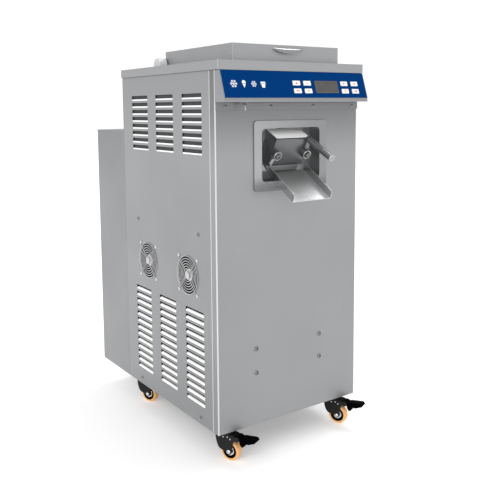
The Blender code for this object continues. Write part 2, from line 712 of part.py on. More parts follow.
def caster_fork(name, frame, braked):
    axle = (TRAIL, WHEEL_RADIUS - FLOOR_DROP)
    race = rod(21, -15, -4.6, 20)
    crown = box((-16.5, 16.5), (-32, 26), (-18, -13.5))
    cheek = [(-33, -14.2), *arc(axle, 10, -160, 20, 6), (29, -32), (28, -14.2)]
    parts = [prism(cheek, "x", low, low + 3) for low in (-17, 14)]
    parts.append(moved(rod(AXLE_RADIUS, -15.5, 15.5, 12), axle_line(axle)))
    parts += [moved(rod(7, low, low + 5, 12), axle_line(axle)) for low in (-21, 16)]
    if braked:
        y, z = PEDAL_PIVOT
        ear = [(20, z - 7.5), *arc((y, z), 7, -90, 90, 6), (20, z + 6.5)]
        parts += [prism(ear, "x", low, low + 2.6) for low in (-16.8, 14.2)]
        parts.append(moved(rod(3, -15.5, 15.5, 10), axle_line(PEDAL_PIVOT)))
    piece(name, "black_steel", race, add=[crown, *parts], frame=frame)


def caster_wheel(name, frame):
    axle = (TRAIL, WHEEL_RADIUS - FLOOR_DROP)
    w, r = WHEEL_HALF_WIDTH, WHEEL_RADIUS
    bore = AXLE_RADIUS + 0.4
    profile = [(bore, -w), (27, -w), (r - 0.8, -w + 3), (r, 0), (r - 0.8, w - 3), (27, w), (bore, w)]
    piece(name, "tyre", turned(profile, 24), frame=frame @ axle_line(axle))


def brake_pedal(name, frame):
    y, z = PEDAL_PIVOT
    hub = moved(rod(6.5, -13.4, 13.4, 14), axle_line(PEDAL_PIVOT))
    lever = [(y + 2, z + 5), (y + 10, z + 6), (y + 54, z + 10), (y + 60, z + 5), (y + 56, z)]
    lever += [(y + 36, z - 8), (y + 14, z - 9), (y + 3, z - 5)]
    tread = [(y + 12, z + 6.6), (y + 53, z + 10.6), (y + 58, z + 5), (y + 55, z + 1), (y + 13, z - 6)]
    toe = [(y + 9, z - 2), (y + 34, z - 4), *arc((y + 26, z - 18), 7, 20, -130, 5), (y + 12, z - 12)]
    add = [prism(tread, "x", -15, 15), hub, prism(toe, "x", -12, 12)]
    bore = moved(rod(3.4, -20, 20, 10), axle_line(PEDAL_PIVOT))
    arm = prism(lever, "x", -13, 13)
    piece(name, "black_plastic", arm, add=add, cut=[bore], pivot=(0, y, z), frame=frame)


def casters():
    for end, depth in CASTER_DEPTHS.items():
        for side, x in (("left", -CASTER_X), ("right", CASTER_X)):
            label = f"{end}_{side}"
            frame = caster_frame(x, depth)
            caster_fork(f"caster_fork_{label}", frame, end == "front")
            caster_wheel(f"caster_wheel_{label}", frame)
            if end == "front":
                brake_pedal(f"brake_pedal_{label}", frame)


def handle_tip_depth():
    tip = gate_frame() @ Vector((0, -HANDLE_DROP + HANDLE_RADIUS - 1.5, HANDLE_END))
    return tip[1]


MIDDLE_DEPTH = (REAR_DEPTH + handle_tip_depth()) / 2

clear_scene()
FINISH = make_materials()
cabinet()
hopper()
hopper_lid()
lid_hinge()
control_housing()
control_keys()
toggle_switch()
clamp_strip()
discharge_bezel()
discharge_door()
gate()
discharge_chute()
freezing_cylinder()
dasher()
belt_drive()
refrigeration()
for place_name, fan_depth in FAN_DEPTHS.items():
    fan(place_name, fan_depth)
casters()
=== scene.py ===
"""A stainless batch freezer on casters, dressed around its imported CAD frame.

Places are drawn in millimetres as (x, depth, height): x from the middle plane to the right, depth behind
the front panel's face and height above the panels' lower edge. STAND turns them into the frame's metres. A
wall's own frame has x across the wall, y up and z out of it."""

import json
import math

import bmesh
import bpy
from mathutils import Matrix, Vector

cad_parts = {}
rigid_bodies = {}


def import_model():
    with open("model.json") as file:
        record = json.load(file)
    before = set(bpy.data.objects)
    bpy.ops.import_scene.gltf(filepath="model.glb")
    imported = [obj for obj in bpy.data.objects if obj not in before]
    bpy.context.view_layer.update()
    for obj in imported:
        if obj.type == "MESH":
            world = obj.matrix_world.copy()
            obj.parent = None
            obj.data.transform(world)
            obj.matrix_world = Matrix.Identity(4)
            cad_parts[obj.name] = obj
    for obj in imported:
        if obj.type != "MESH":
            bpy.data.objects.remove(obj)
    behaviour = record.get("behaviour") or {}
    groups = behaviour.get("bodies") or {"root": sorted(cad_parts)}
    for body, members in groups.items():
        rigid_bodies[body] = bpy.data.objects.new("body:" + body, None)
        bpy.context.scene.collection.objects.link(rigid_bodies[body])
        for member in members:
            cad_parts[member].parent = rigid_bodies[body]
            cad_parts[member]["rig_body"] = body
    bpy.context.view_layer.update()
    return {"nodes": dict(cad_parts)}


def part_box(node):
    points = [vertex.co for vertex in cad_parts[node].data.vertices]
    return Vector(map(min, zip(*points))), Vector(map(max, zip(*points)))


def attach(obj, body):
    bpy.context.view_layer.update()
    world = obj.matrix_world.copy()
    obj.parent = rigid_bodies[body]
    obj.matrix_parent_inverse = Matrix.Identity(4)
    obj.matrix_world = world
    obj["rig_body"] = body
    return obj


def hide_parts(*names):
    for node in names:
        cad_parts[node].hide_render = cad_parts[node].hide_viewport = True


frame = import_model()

MM = 0.001
X_AXIS, Y_AXIS, Z_AXIS = Vector((1, 0, 0)), Vector((0, 1, 0)), Vector((0, 0, 1))
NODES = frame["nodes"]

# ---------------- places taken from the frame


def extent(node):
    """A node's box in drawing millimetres: ((x, depth, height), (x, depth, height))."""
    low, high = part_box(node)
    back = STAND.inverted()
    return back @ low, back @ high


FRONT_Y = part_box("front_panel")[0].y
BASE_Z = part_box("front_panel")[0].z
STAND = Matrix.Translation((0, FRONT_Y, BASE_Z)) @ Matrix.Scale(MM, 4)

HALF_WIDTH = extent("front_panel")[1].x
PANEL_TOP = extent("front_panel")[1].z
CORNER_RETURN = extent("front_panel")[1].y
DEPTH = extent("back_panel")[1].y
REAR_DEPTH = extent("rear_housing")[1].y
SHEET, GAP = 2.0, 0.4

LOUVRE_DEPTHS = (123.0, 285.0, 447.0)
LOUVRE_PITCH = 22.65
UPPER_LOUVRE = dict(width=109.0, height=16.0, top=975.0, rows=8, lip=(4.6, 1.6), taper=0.0)
LOWER_LOUVRE = dict(width=104.0, height=15.0, top=343.0, rows=13, lip=(7.4, 5.2), taper=4.0)
REAR_LOUVRE = dict(width=104.0, height=15.0, top=760.0, rows=10, lip=(7.4, 5.2), taper=0.0)
REAR_COLUMNS = (-120.0, 120.0)
FAN_DEPTHS = {"front": 159.0, "rear": 411.0}
FAN_HEIGHT, FAN_BORE, FAN_SCREW = 440.0, 56.5, 52.5

HOUSING_TOP, HOUSING_LIP = 1035.2, -22.0
HOUSING_NOSE = (-46.5, 959.5)
HOUSING_CHIN = 948.5
FILM_HEIGHT = 79.0
FILM_FACE = 1.1
KEY_SIZE = (27.0, 14.0)
KEY_COLUMNS = (-7.5, 32.3, 176.8, 218.5)
KEY_ROWS = (-35.4, -58.8)
KEY_PROUD = 2.4
DISPLAY_X, DISPLAY_Y = (62.0, 148.4), (-63.8, -29.0)
TOGGLE = (-183.0, -24.0)

GATE_PITCH = math.radians(27.0)
GATE_TOP_EDGE = (0.0, -8.0, 844.0)
GATE_HALF_WIDTH, GATE_DROP = 62.0, 88.0
BOSS_X, BOSS_DROP, BOSS_RADIUS = 55.0, 46.0, 14.0
HANDLE_X, HANDLE_DROP = 57.0, 2.0
HANDLE_RADIUS, HANDLE_END = 10.2, 122.0
CHUTE_PITCH = math.radians(32.0)
CHUTE_TIP = (0.0, -94.0, 668.0)
CHUTE_HALF_WIDTH, CHUTE_LENGTH = 70.5, 143.0

CASTER_X = 212.0
CASTER_DEPTHS = {"front": 32.0, "rear": 541.0}
CASTER_TURN = math.radians(25.0)
WHEEL_RADIUS, WHEEL_HALF_WIDTH = 30.0, 12.0
AXLE = (12.0, WHEEL_RADIUS - 95.0)
PEDAL_PIVOT = (40.0, -23.0)

# ---------------- camera, light and floor

CAMERA_PLACE = (-1.2971, -1.9294, 1.0267)
CAMERA_YAW, CAMERA_PITCH, CAMERA_ROLL = 34.08, -6.457, -0.57
CAMERA_LENS, SENSOR = 52.2, 36.0
CAMERA_SHIFT = (0.0217, -0.110)
WORLD_LIGHT, WORLD_SEEN = 0.8, 1.05
FLOOR_GLOW, FLOOR_HALF = 0.25, 30.0
KEY_FROM, KEY_STRENGTH = (-1.5, -0.9, 1.4), 0.7
TOP_FROM, TOP_STRENGTH = (0.52, 0.1, 0.85), 0.9
EDGE_FROM, EDGE_STRENGTH = (-0.5, -0.8, 0.33), 0.45


def added(name, data):
    """A new object in the scene."""
    made = bpy.data.objects.new(name, data)
    bpy.context.scene.collection.objects.link(made)
    return made


def make_camera():
    data = bpy.data.cameras.new("camera")
    data.sensor_fit = "HORIZONTAL"
    data.sensor_width, data.lens = SENSOR, CAMERA_LENS
    data.shift_x, data.shift_y = CAMERA_SHIFT
    data.clip_start, data.clip_end = 0.05, 60.0
    camera = added("camera", data)
    turn = Matrix.Rotation(math.radians(-CAMERA_YAW), 4, "Z")
    tip = Matrix.Rotation(math.radians(90 + CAMERA_PITCH), 4, "X")
    roll = Matrix.Rotation(math.radians(CAMERA_ROLL), 4, "Z")
    camera.matrix_world = Matrix.Translation(CAMERA_PLACE) @ turn @ tip @ roll
    bpy.context.scene.camera = camera


def make_world():
    """White to the camera, a little dimmer as light."""
    world = bpy.data.worlds.new("studio")
    bpy.context.scene.world = world
    world.use_nodes = True
    tree = world.node_tree
    seen = add_node(tree, "LightPath", {})["Is Camera Ray"]
    strength = add_node(tree, "MapRange", {"To Min": WORLD_LIGHT, "To Max": WORLD_SEEN, "Value": seen})
    feed(tree, tree.nodes["Background"], {"Color": (1, 1, 1, 1), "Strength": strength["Result"]})


def soft_sun(name, place, strength, softness):
    """A very soft distant light that shines from `place` towards the origin."""
    data = bpy.data.lights.new(name, "SUN")
    data.energy, data.angle = strength, math.radians(softness)
    added(name, data).rotation_euler = (-Vector(place)).to_track_quat("-Z", "Y").to_euler()


def make_studio():
    make_world()
    soft_sun("key_light", KEY_FROM, KEY_STRENGTH, 30.0)
    soft_sun("top_light", TOP_FROM, TOP_STRENGTH, 25.0)
    soft_sun("edge_light", EDGE_FROM, EDGE_STRENGTH, 20.0)
    scene = bpy.context.scene
    scene.view_settings.view_transform = "Standard"
    scene.view_settings.look = "None"
    corners = [(-FLOOR_HALF, -FLOOR_HALF), (FLOOR_HALF, -FLOOR_HALF), (FLOOR_HALF, FLOOR_HALF),
               (-FLOOR_HALF, FLOOR_HALF)]
    mesh = bpy.data.meshes.new("floor")
    mesh.from_pydata([(x, y, 0) for x, y in corners], [], [(0, 1, 2, 3)])
    floor = added("floor", mesh)
    paper = plain_material("floor_paper", (0.9, 0.9, 0.9), 0.9)
    glow = {"Emission Color": (1, 1, 1, 1), "Emission Strength": FLOOR_GLOW}
    feed(paper.node_tree, shader_of(paper), glow)
    mesh.materials.append(paper)


# ---------------- materials

# A painted shadow on the front panel under the control housing: how far down it reaches, and its darkest
# tone.
SHADOW_REACH, SHADOW_TONE = 0.17, 0.68  # metres below the control housing, and the tone at its foot
SMUDGES = 5  # smudges per metre


def feed(tree, node, inputs):
    """Each input takes the socket that is linked to it, or else a fixed value."""
    for key, value in inputs.items():
        if isinstance(value, bpy.types.NodeSocket):
            tree.links.new(value, node.inputs[key])
        else:
            node.inputs[key].default_value = value


def add_node(tree, kind, inputs, **settings):
    node = tree.nodes.new("ShaderNode" + kind)
    for key, value in settings.items():
        setattr(node, key, value)
    feed(tree, node, inputs)
    return node.outputs


def shader_of(made):
    return made.node_tree.nodes["Principled BSDF"]


def plain_material(name, colour, roughness, metallic=0.0):
    made = bpy.data.materials.new(name)
    made.use_nodes = True
    feed(made.node_tree, shader_of(made),
         {"Base Color": (*colour, 1), "Roughness": roughness, "Metallic": metallic})
    return made


def stretched_noise(tree, stretch, detail):
    """Noise over the object's own metres: `stretch` cycles per metre, one number or one per axis."""
    scale = stretch if isinstance(stretch, tuple) else (stretch,) * 3
    place = add_node(tree, "TexCoord", {})["Object"]
    mapped = add_node(tree, "Mapping", {"Scale": scale, "Vector": place})["Vector"]
    return add_node(tree, "TexNoise", {"Scale": 1.0, "Detail": detail, "Vector": mapped})["Fac"]


def spread(tree, value, low, high):
    """The middle half of a noise value stretched over low..high."""
    limits = {"From Min": 0.3, "From Max": 0.7, "To Min": low, "To Max": high}
    return add_node(tree, "MapRange", {**limits, "Value": value})["Result"]


def surface(name, colour, roughness, metallic, stretch, detail, vary, rough_vary, bump=0.1,
            bump_size=0.0002, smudge=0.0):
    """A surface whose colour, roughness and relief follow one stretched noise, with wider smudges."""
    made = plain_material(name, colour, roughness, metallic)
    tree = made.node_tree
    grain = stretched_noise(tree, stretch, detail)
    dark, light = (tuple(min(1, c * (1 + way * vary)) for c in colour) + (1,) for way in (-1, 1))
    tones = {"A": dark, "B": light, "Factor": spread(tree, grain, 0, 1)}
    mixed = add_node(tree, "Mix", tones, data_type="RGBA")
    rough = spread(tree, grain, roughness - rough_vary, roughness + rough_vary)
    if smudge:
        wide = spread(tree, stretched_noise(tree, SMUDGES, 2.0), -smudge, smudge)
        rough = add_node(tree, "Math", {0: rough, 1: wide}, operation="ADD")["Value"]
    relief = add_node(tree, "Bump", {"Strength": bump, "Distance": bump_size, "Height": grain})["Normal"]
    feed(tree, shader_of(made), {"Base Color": mixed["Result"], "Roughness": rough, "Normal": relief})
    return made


def gloss(made, level, coat=0.0, coat_roughness=0.1):
    """The strength of a non-metal's reflection, and of a clear coat over it."""
    feed(made.node_tree, shader_of(made),
         {"Specular IOR Level": level, "Coat Weight": coat, "Coat Roughness": coat_roughness})


def paint_light_and_shade(made, axis, start, end, tones):
    """Paints light and shade into a finish smoothly along an axis, from one tone at `start` to another at
    `end`, in metres.
    """
    tree = made.node_tree
    colour = shader_of(made).inputs["Base Color"].links[0].from_socket
    place = add_node(tree, "TexCoord", {})["Object"]
    along = add_node(tree, "SeparateXYZ", {"Vector": place})[axis]
    limits = {"From Min": start, "From Max": end, "To Min": tones[0], "To Max": tones[1]}
    fade = add_node(tree, "MapRange", {**limits, "Value": along}, interpolation_type="SMOOTHSTEP")["Result"]
    toned = add_node(tree, "VectorMath", {"Vector": colour, "Scale": fade}, operation="SCALE")["Vector"]
    feed(tree, shader_of(made), {"Base Color": toned})
    return made


FINE, LONG = 1400, 9
UPRIGHT, LEVEL, TURNED = (FINE, FINE, LONG), (LONG, LONG, FINE), (1300, 160, 1300)  # the grain's directions
CROSSWISE = (300, 900, 300)
STEEL, REAR_STEEL, COVER_STEEL = (0.35, 0.354, 0.361), (0.277, 0.28, 0.286), (0.385, 0.389, 0.396)

# Name, colour, roughness, metal, grain (cycles per metre), its detail, how much it varies the colour and the
# roughness, and its relief; then, where they aren't the usual ones, the relief's depth and the smudges.
SURFACES = {
    # A lighter copy of the panel steel for folds, seams and edges: a painted highlight.
    "burnished": ("burnished_fold", (0.64, 0.645, 0.655), 0.34, 0.8, UPRIGHT, 2, 0.03, 0.03, 0.03),
    "inner_steel": ("mill_steel", (0.3, 0.3, 0.3), 0.5, 1.0, 90, 4, 0.1, 0.1, 0.1),
    "polished": ("polished_steel", (0.5, 0.505, 0.51), 0.22, 1.0, TURNED, 2, 0.03, 0.03, 0.03, 0.0001, 0.05),
    "handle": ("turned_steel", (0.33, 0.333, 0.337), 0.26, 0.9, TURNED, 2, 0.03, 0.03, 0.03, 0.0001, 0.03),
    # The bezel's steel; painted light and painted shade are laid on it in make_materials.
    "bezel": ("satin_casting", (0.345, 0.349, 0.354), 0.36, 0.85, 700, 3, 0.05, 0.05, 0.06, 0.0001, 0.06),
    "cast": ("cast_steel", (0.17, 0.173, 0.177), 0.36, 0.85, 500, 3, 0.05, 0.05, 0.08, 0.0001, 0.05),
    # Near-white louvre blades: painted light, the steel blades drawn as if lit from above.
    "blade": ("louvre_blade", (0.95, 0.95, 0.94), 0.5, 0.0, (60, 60, 400), 2, 0.02, 0.05, 0.05),
    # A near-white copy of the hood's steel: painted light on the hood's top, which sits in the recess's
    # shade.
    "hood": ("satin_hood", (0.97, 0.97, 0.97), 0.55, 0.1, CROSSWISE, 3, 0.04, 0.05, 0.06, 0.0001, 0.05),
    # A lighter copy of the chute's steel for its floor: painted light, with painted shade laid on in
    # make_materials.
    "chute": ("chute_steel", (0.66, 0.665, 0.67), 0.3, 0.62, TURNED, 2, 0.04, 0.04, 0.03, 0.0001, 0.05),
    "screw": ("plated_screw", (0.24, 0.24, 0.245), 0.24, 1.0, 500, 3, 0.1, 0.05, 0.1),
    # Zinc plating for the fan screws, also used as painted glare on the fan hubs.
    "zinc": ("plated_zinc", (0.85, 0.85, 0.86), 0.35, 0.5, 500, 3, 0.05, 0.05, 0.05),
    # Bright plating for bolts and bearings, also used for painted highlights on rims and lips.
    "bright": ("plated_bright", (0.62, 0.62, 0.62), 0.22, 1.0, 500, 3, 0.06, 0.05, 0.05),
    "wire": ("plated_wire", (0.5, 0.5, 0.51), 0.3, 0.9, 400, 3, 0.06, 0.05, 0.05),
    "copper": ("finned_coil", (0.1, 0.094, 0.088), 0.45, 0.6, (30, 600, 30), 2, 0.35, 0.1, 0.9, 0.001),
    # Black coating, also used as painted shade in the screws' cross recesses.
    "black_steel": ("black_coated_steel", (0.008, 0.0083, 0.0095), 0.45, 0.0, 700, 4, 0.25, 0.08, 0.3),
    "fork": ("grey_coated_steel", (0.009, 0.0093, 0.0102), 0.45, 0.0, 700, 4, 0.25, 0.08, 0.3),
    "enamel": ("blue_grey_enamel", (0.04, 0.075, 0.11), 0.4, 0.0, 160, 4, 0.1, 0.08, 0.25, 0.0004),
    "blue": ("blue_polyester_film", (0.0005, 0.034, 0.155), 0.4, 0.0, 900, 3, 0.05, 0.05, 0.12, 0.0001),
    "red": ("red_print", (0.75, 0.01, 0.012), 0.45, 0.0, 800, 3, 0.08, 0.06, 0.1),
    "white_print": ("white_print", (0.88, 0.88, 0.88), 0.4, 0.0, 800, 3, 0.03, 0.06, 0.1),
    "display": ("smoked_window", (0.088, 0.087, 0.085), 0.25, 0.0, 60, 2, 0.05, 0.04, 0.02),
    "display_rim": ("display_rim", (0.12, 0.105, 0.095), 0.4, 0.0, 500, 3, 0.1, 0.06),
    "white": ("white_nylon", (0.82, 0.82, 0.81), 0.42, 0.0, 300, 4, 0.03, 0.08, 0.15),
    "milky": ("milky_nylon", (0.62, 0.62, 0.62), 0.38, 0.0, 200, 4, 0.04, 0.08, 0.15),
    "board": ("circuit_board", (0.01, 0.12, 0.04), 0.4, 0.0, 260, 5, 0.4, 0.1, 0.3),
    "black_plastic": ("black_nylon", (0.001, 0.001, 0.0013), 0.55, 0.0, 600, 4, 0.2, 0.1, 0.35),
    "grey_plastic": ("grey_plastic", (0.012, 0.0122, 0.013), 0.4, 0.0, 500, 4, 0.08, 0.08, 0.2),
    # Grey painted shade: a sheet behind the upper louvres.
    "baffle": ("grey_felt", (0.075, 0.076, 0.08), 0.8, 0.0, 700, 4, 0.12, 0.1, 0.3),
    "tyre": ("tan_polyurethane", (0.8, 0.43, 0.17), 0.4, 0.0, 220, 4, 0.08, 0.08, 0.2, 0.0003),
    # Black rubber for the belt, also used as black painted shade behind the louvres.
    "rubber": ("black_rubber", (0.02, 0.02, 0.02), 0.75, 0.0, 500, 4, 0.2, 0.1, 0.4, 0.0003),
}
GLOSS = {  # the reflection's level, then a clear coat's weight and roughness
    "blade": (0.4,), "black_steel": (0.2, 0.05, 0.3), "fork": (0.18, 0.02, 0.3), "enamel": (0.5, 0.3, 0.2),
    "blue": (0.01,), "red": (0.15,), "display": (0.12,), "display_rim": (0.15,), "white": (0.4,),
    "black_plastic": (0.01,), "grey_plastic": (0.25,), "baffle": (0.1,), "tyre": (0.3,), "rubber": (0.3,),
}


def panel(place, colour=STEEL, brush=LEVEL):
    """Brushed sheet steel."""
    return surface("brushed_panel_" + place, colour, 0.42, 0.85, brush, 2, 0.03, 0.04, 0.04, 0.0001, 0.04)


def make_materials():
    made = {key: surface(*row) for key, row in SURFACES.items()}
    for key, settings in GLOSS.items():
        gloss(made[key], *settings)
    chin = BASE_Z + HOUSING_CHIN * MM
    low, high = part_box("discharge_bezel")
    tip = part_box("discharge_chute")[0].z
    # Painted shade on the bezel: darker over its lowest 5 cm. Painted light across it: lighter at its left
    # side, darker at its right.
    paint_light_and_shade(made["bezel"], "Z", low.z, low.z + 0.05, (0.55, 1.0))
    paint_light_and_shade(made["bezel"], "X", low.x, high.x, (1.12, 0.82))
    # Painted shade on the chute floor: light at the mouth, darker up the slope.
    paint_light_and_shade(made["chute"], "Z", tip, tip + 0.075, (1.0, 0.4))
    # Painted shade: the front panel is darker towards the bottom, below 0.95 m.
    front = paint_light_and_shade(panel("front", brush=UPRIGHT), "Z", 0.5, 0.95, (0.865, 0.97))
    return {
        **made,
        "panel_level": panel("level"),
        "panel_cover": panel("cover", COVER_STEEL),
        "panel_rear": panel("rear", REAR_STEEL),
        # Painted shade: the side panels are darker towards the bottom, below 1.05 m.
        "panel_side": paint_light_and_shade(panel("side"), "Z", 0.55, 1.05, (0.845, 1.0)),
        # Painted shadow: the front panel grows darker up towards the control housing.
        "panel_front": paint_light_and_shade(front, "Z", chin - SHADOW_REACH, chin, (1.0, SHADOW_TONE)),
    }


# ---------------- shapes: (points, faces) in millimetres


def basis(origin, right, up):
    right, up = Vector(right).normalized(), Vector(up).normalized()
    out = right.cross(up)
    rows = [[right[i], up[i], out[i], origin[i]] for i in range(3)]
    return Matrix(rows + [[0, 0, 0, 1]])


WALLS = {"front": (0, -1), "rear": (0, 1), "left": (-1, 0), "right": (1, 0)}
WALL_SIGN = {"front": 1, "rear": -1, "left": -1, "right": 1}


def wall(side, distance):
    """The frame of an upright wall: x across it, y the height, z out. `across` gives the x of a place."""
    out = Vector((*WALLS[side], 0))
    return basis(out * distance, Z_AXIS.cross(out), Z_AXIS)


def across(side, place):
    return WALL_SIGN[side] * place


def shift(x, y, z=0.0):
    return Matrix.Translation((x, y, z))


def spin(degrees, axis="Z"):
    return Matrix.Rotation(math.radians(degrees), 4, axis)


def moved(shape, matrix):
    points, faces = shape
    return [matrix @ Vector(point) for point in points], faces


def joined(shapes):
    points, faces = [], []
    for more_points, more_faces in shapes:
        start = len(points)
        points = points + list(more_points)
        faces = faces + [tuple(start + i for i in face) for face in more_faces]
    return points, faces


def prism(outline, axis, low, high):
    """An outline drawn out from `low` to `high`: across x as (y, z) points, or up z as (x, y) points."""
    count = len(outline)
    points = [(level, a, b) if axis == "x" else (a, b, level) for level in (low, high) for a, b in outline]
    sides = [(i, (i + 1) % count, count + (i + 1) % count, count + i) for i in range(count)]
    return points, [tuple(range(count))[::-1], tuple(range(count, 2 * count))] + sides


def box(x_span, y_span, z_span):
    (x0, x1), (y0, y1) = x_span, y_span
    return prism([(x0, y0), (x1, y0), (x1, y1), (x0, y1)], "z", *z_span)


def turned(profile, segments):
    """A closed profile of (radius, height) turned round the local z axis."""
    rings, points, faces = [], [], []
    for radius, height in profile:
        if radius < 1e-6:
            rings.append([len(points)] * segments)
            points.append((0.0, 0.0, height))
            continue
        rings.append(list(range(len(points), len(points) + segments)))
        for step in range(segments):
            angle = math.tau * step / segments
            points.append((radius * math.cos(angle), radius * math.sin(angle), height))
    for here, after in zip(rings, rings[1:] + rings[:1]):
        for i in range(segments):
            j = (i + 1) % segments
            face = tuple(dict.fromkeys([here[i], here[j], after[j], after[i]]))
            if len(face) > 2:
                faces.append(face)
    return points, faces


def arc(centre, radius, start, end, steps):
    angles = [math.radians(start + (end - start) * i / steps) for i in range(steps + 1)]
    return [(centre[0] + radius * math.cos(a), centre[1] + radius * math.sin(a)) for a in angles]


def rounded_rectangle(x_span, y_span, radii, steps=4):
    """Corner radii run from the lower right, anticlockwise; one number serves all four."""
    (x0, x1), (y0, y1) = x_span, y_span
    r = radii if isinstance(radii, tuple) else (radii,) * 4
    corners = [(x1 - r[0], y0 + r[0], -90, r[0]), (x1 - r[1], y1 - r[1], 0, r[1])]
    corners += [(x0 + r[2], y1 - r[2], 90, r[2]), (x0 + r[3], y0 + r[3], 180, r[3])]
    return [point for x, y, start, size in corners for point in arc((x, y), size, start, start + 90, steps)]


def ring(radius, wire, height=0.0, segments=48, sides=10):
    return turned([(radius + a, height + b) for a, b in arc((0, 0), wire, 0, 360 - 360 / sides, sides - 1)],
                  segments)


def dome(radius, height, segments=20, low=0.0):
    """A round head: a short straight rim, then a dome."""
    rim = height * 0.25
    crown = [(radius * math.cos(a), low + rim + (height - rim) * math.sin(a))
             for a in [math.radians(step * 15) for step in range(6)]]
    return turned([(0, low), (radius, low), *crown, (0, low + height)], segments)


def tube(points, radius, sides=8):
    """A round wire along a list of points."""
    rings = []
    for i, point in enumerate(points):
        before, after = points[max(i - 1, 0)], points[min(i + 1, len(points) - 1)]
        way = (Vector(after) - Vector(before)).normalized()
        side = way.cross(Z_AXIS if abs(way.z) < 0.9 else X_AXIS).normalized()
        other = way.cross(side)
        angles = [math.tau * step / sides for step in range(sides)]
        rings.append([Vector(point) + radius * (math.cos(a) * side + math.sin(a) * other) for a in angles])
    flat = [p for row in rings for p in row]
    faces = [tuple(range(sides)), tuple(range(len(flat) - sides, len(flat)))[::-1]]
    for row in range(len(points) - 1):
        for i in range(sides):
            j = (i + 1) % sides
            faces.append((row * sides + i, (row + 1) * sides + i, (row + 1) * sides + j, row * sides + j))
    return flat, faces


# ---------------- pieces

SHARP_ANGLE, BEVEL_ANGLE, FLAT_ANGLE = math.radians(38.0), math.radians(25.0), math.radians(0.5)


def weighted(target):
    """Applies every modifier after giving the flat faces their own normals."""
    normals = target.modifiers.new("normals", "WEIGHTED_NORMAL")
    normals.keep_sharp = True
    graph = bpy.context.evaluated_depsgraph_get()
    result = bpy.data.meshes.new_from_object(target.evaluated_get(graph))
    target.modifiers.clear()
    old = target.data
    target.data = result
    bpy.data.meshes.remove(old)


def mesh_from(bm, name):
    bmesh.ops.recalc_face_normals(bm, faces=bm.faces)
    mesh = bpy.data.meshes.new(name)
    bm.to_mesh(mesh)
    bm.free()
    mesh.shade_smooth()
    mesh.set_sharp_from_angle(angle=SHARP_ANGLE)
    return mesh


def bevel_edges(bm, width, steps, where=None, finish=-1):
    """Rounds the sharp edges, or the sharp ones that `where` picks by their two ends in millimetres.

    The rounded faces take the finish of their neighbours, or the one with the number `finish`."""
    back = STAND.inverted()
    chosen = []
    for edge in bm.edges:
        if len(edge.link_faces) != 2 or edge.calc_face_angle(0.0) < BEVEL_ANGLE:
            continue
        ends = [back @ vertex.co for vertex in edge.verts]
        if where is None or where(*ends):
            chosen.append(edge)
    if chosen:
        bmesh.ops.bevel(bm, geom=chosen, offset=width * MM, segments=steps, profile=0.5, affect="EDGES",
                        clamp_overlap=True, material=finish)


def linked(name, mesh, finish, body, replaces=()):
    for material in finish if isinstance(finish, (list, tuple)) else [finish]:
        mesh.materials.append(MATERIALS[material])
    made = added(name, mesh)
    weighted(made)
    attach(made, body)
    if replaces:
        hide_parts(*replaces)
    return made


def piece(name, shape, finish, body="cabinet", place=None, round_off=0.0,
          replaces=()):
    """One new piece, drawn in millimetres in the frame `place`."""
    points, faces = shape
    whole = STAND @ (place or Matrix.Identity(4))
    bm = bmesh.new()
    made = [bm.verts.new(whole @ Vector(point)) for point in points]
    for face in faces:
        bm.faces.new([made[i] for i in face])
    bmesh.ops.recalc_face_normals(bm, faces=bm.faces)
    if round_off:
        bevel_edges(bm, round_off, 2)
    return linked(name, mesh_from(bm, name), finish, body, replaces)


def refined(node, finish, slot, *rounds):
    """A CAD node's own shape with its edges rounded. Each round is (width, steps, where, edge finish)."""
    source = NODES[node]
    bm = bmesh.new()
    bm.from_mesh(source.data)
    bmesh.ops.remove_doubles(bm, verts=bm.verts, dist=0.00001)
    bmesh.ops.dissolve_limit(bm, angle_limit=FLAT_ANGLE, verts=bm.verts, edges=bm.edges)
    for settings in rounds:
        bevel_edges(bm, *settings)
    clean = bpy.data.meshes.new("clean")
    bm.to_mesh(clean)
    bm.free()
    bare = bpy.data.meshes.new(node + "_look")
    bare.from_pydata([v.co for v in clean.vertices], [], [tuple(p.vertices) for p in clean.polygons])
    bare.polygons.foreach_set("material_index", [int(p.material_index > 0) for p in clean.polygons])
    bare.shade_smooth()
    bare.set_sharp_from_angle(angle=SHARP_ANGLE)
    bpy.data.meshes.remove(clean)
    return linked(node + "_look", bare, finish, source["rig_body"], (node,))


def dress(node, finish):
    """Keeps a CAD node as it is and gives it a better material."""
    for held in NODES[node].material_slots:
        held.material = MATERIALS[finish]


def sheet(name, outline, holes, thickness, edge, place, finish, body="cabinet", replaces=()):
    """A flat sheet with holes and softened edges, its outer face at z = 0 of the frame `place`."""
    curve = bpy.data.curves.new(name, "CURVE")
    curve.dimensions = "2D"
    curve.fill_mode = "BOTH"
    curve.extrude = thickness / 2 - edge
    curve.bevel_depth, curve.bevel_resolution, curve.offset = edge, 1, -edge
    for loop in [outline, *holes]:
        area = sum(a[0] * b[1] - b[0] * a[1] for a, b in zip(loop, loop[1:] + loop[:1]))
        if (area > 0) != (loop is outline):
            loop = loop[::-1]
        spline = curve.splines.new("POLY")
        spline.points.add(len(loop) - 1)
        for point, (x, y) in zip(spline.points, loop):
            point.co = (x, y, 0, 1)
        spline.use_cyclic_u = True
    drawn = added(name + "_curve", curve)
    graph = bpy.context.evaluated_depsgraph_get()
    flat = bpy.data.meshes.new_from_object(drawn.evaluated_get(graph))
    bpy.data.objects.remove(drawn, do_unlink=True)
    bm = bmesh.new()
    bm.from_mesh(flat)
    bpy.data.meshes.remove(flat)
    bmesh.ops.remove_doubles(bm, verts=bm.verts, dist=0.001)
    bm.transform(STAND @ place @ shift(0, 0, -thickness / 2))
    return linked(name, mesh_from(bm, name), finish, body, replaces)


# ---------------- cabinet


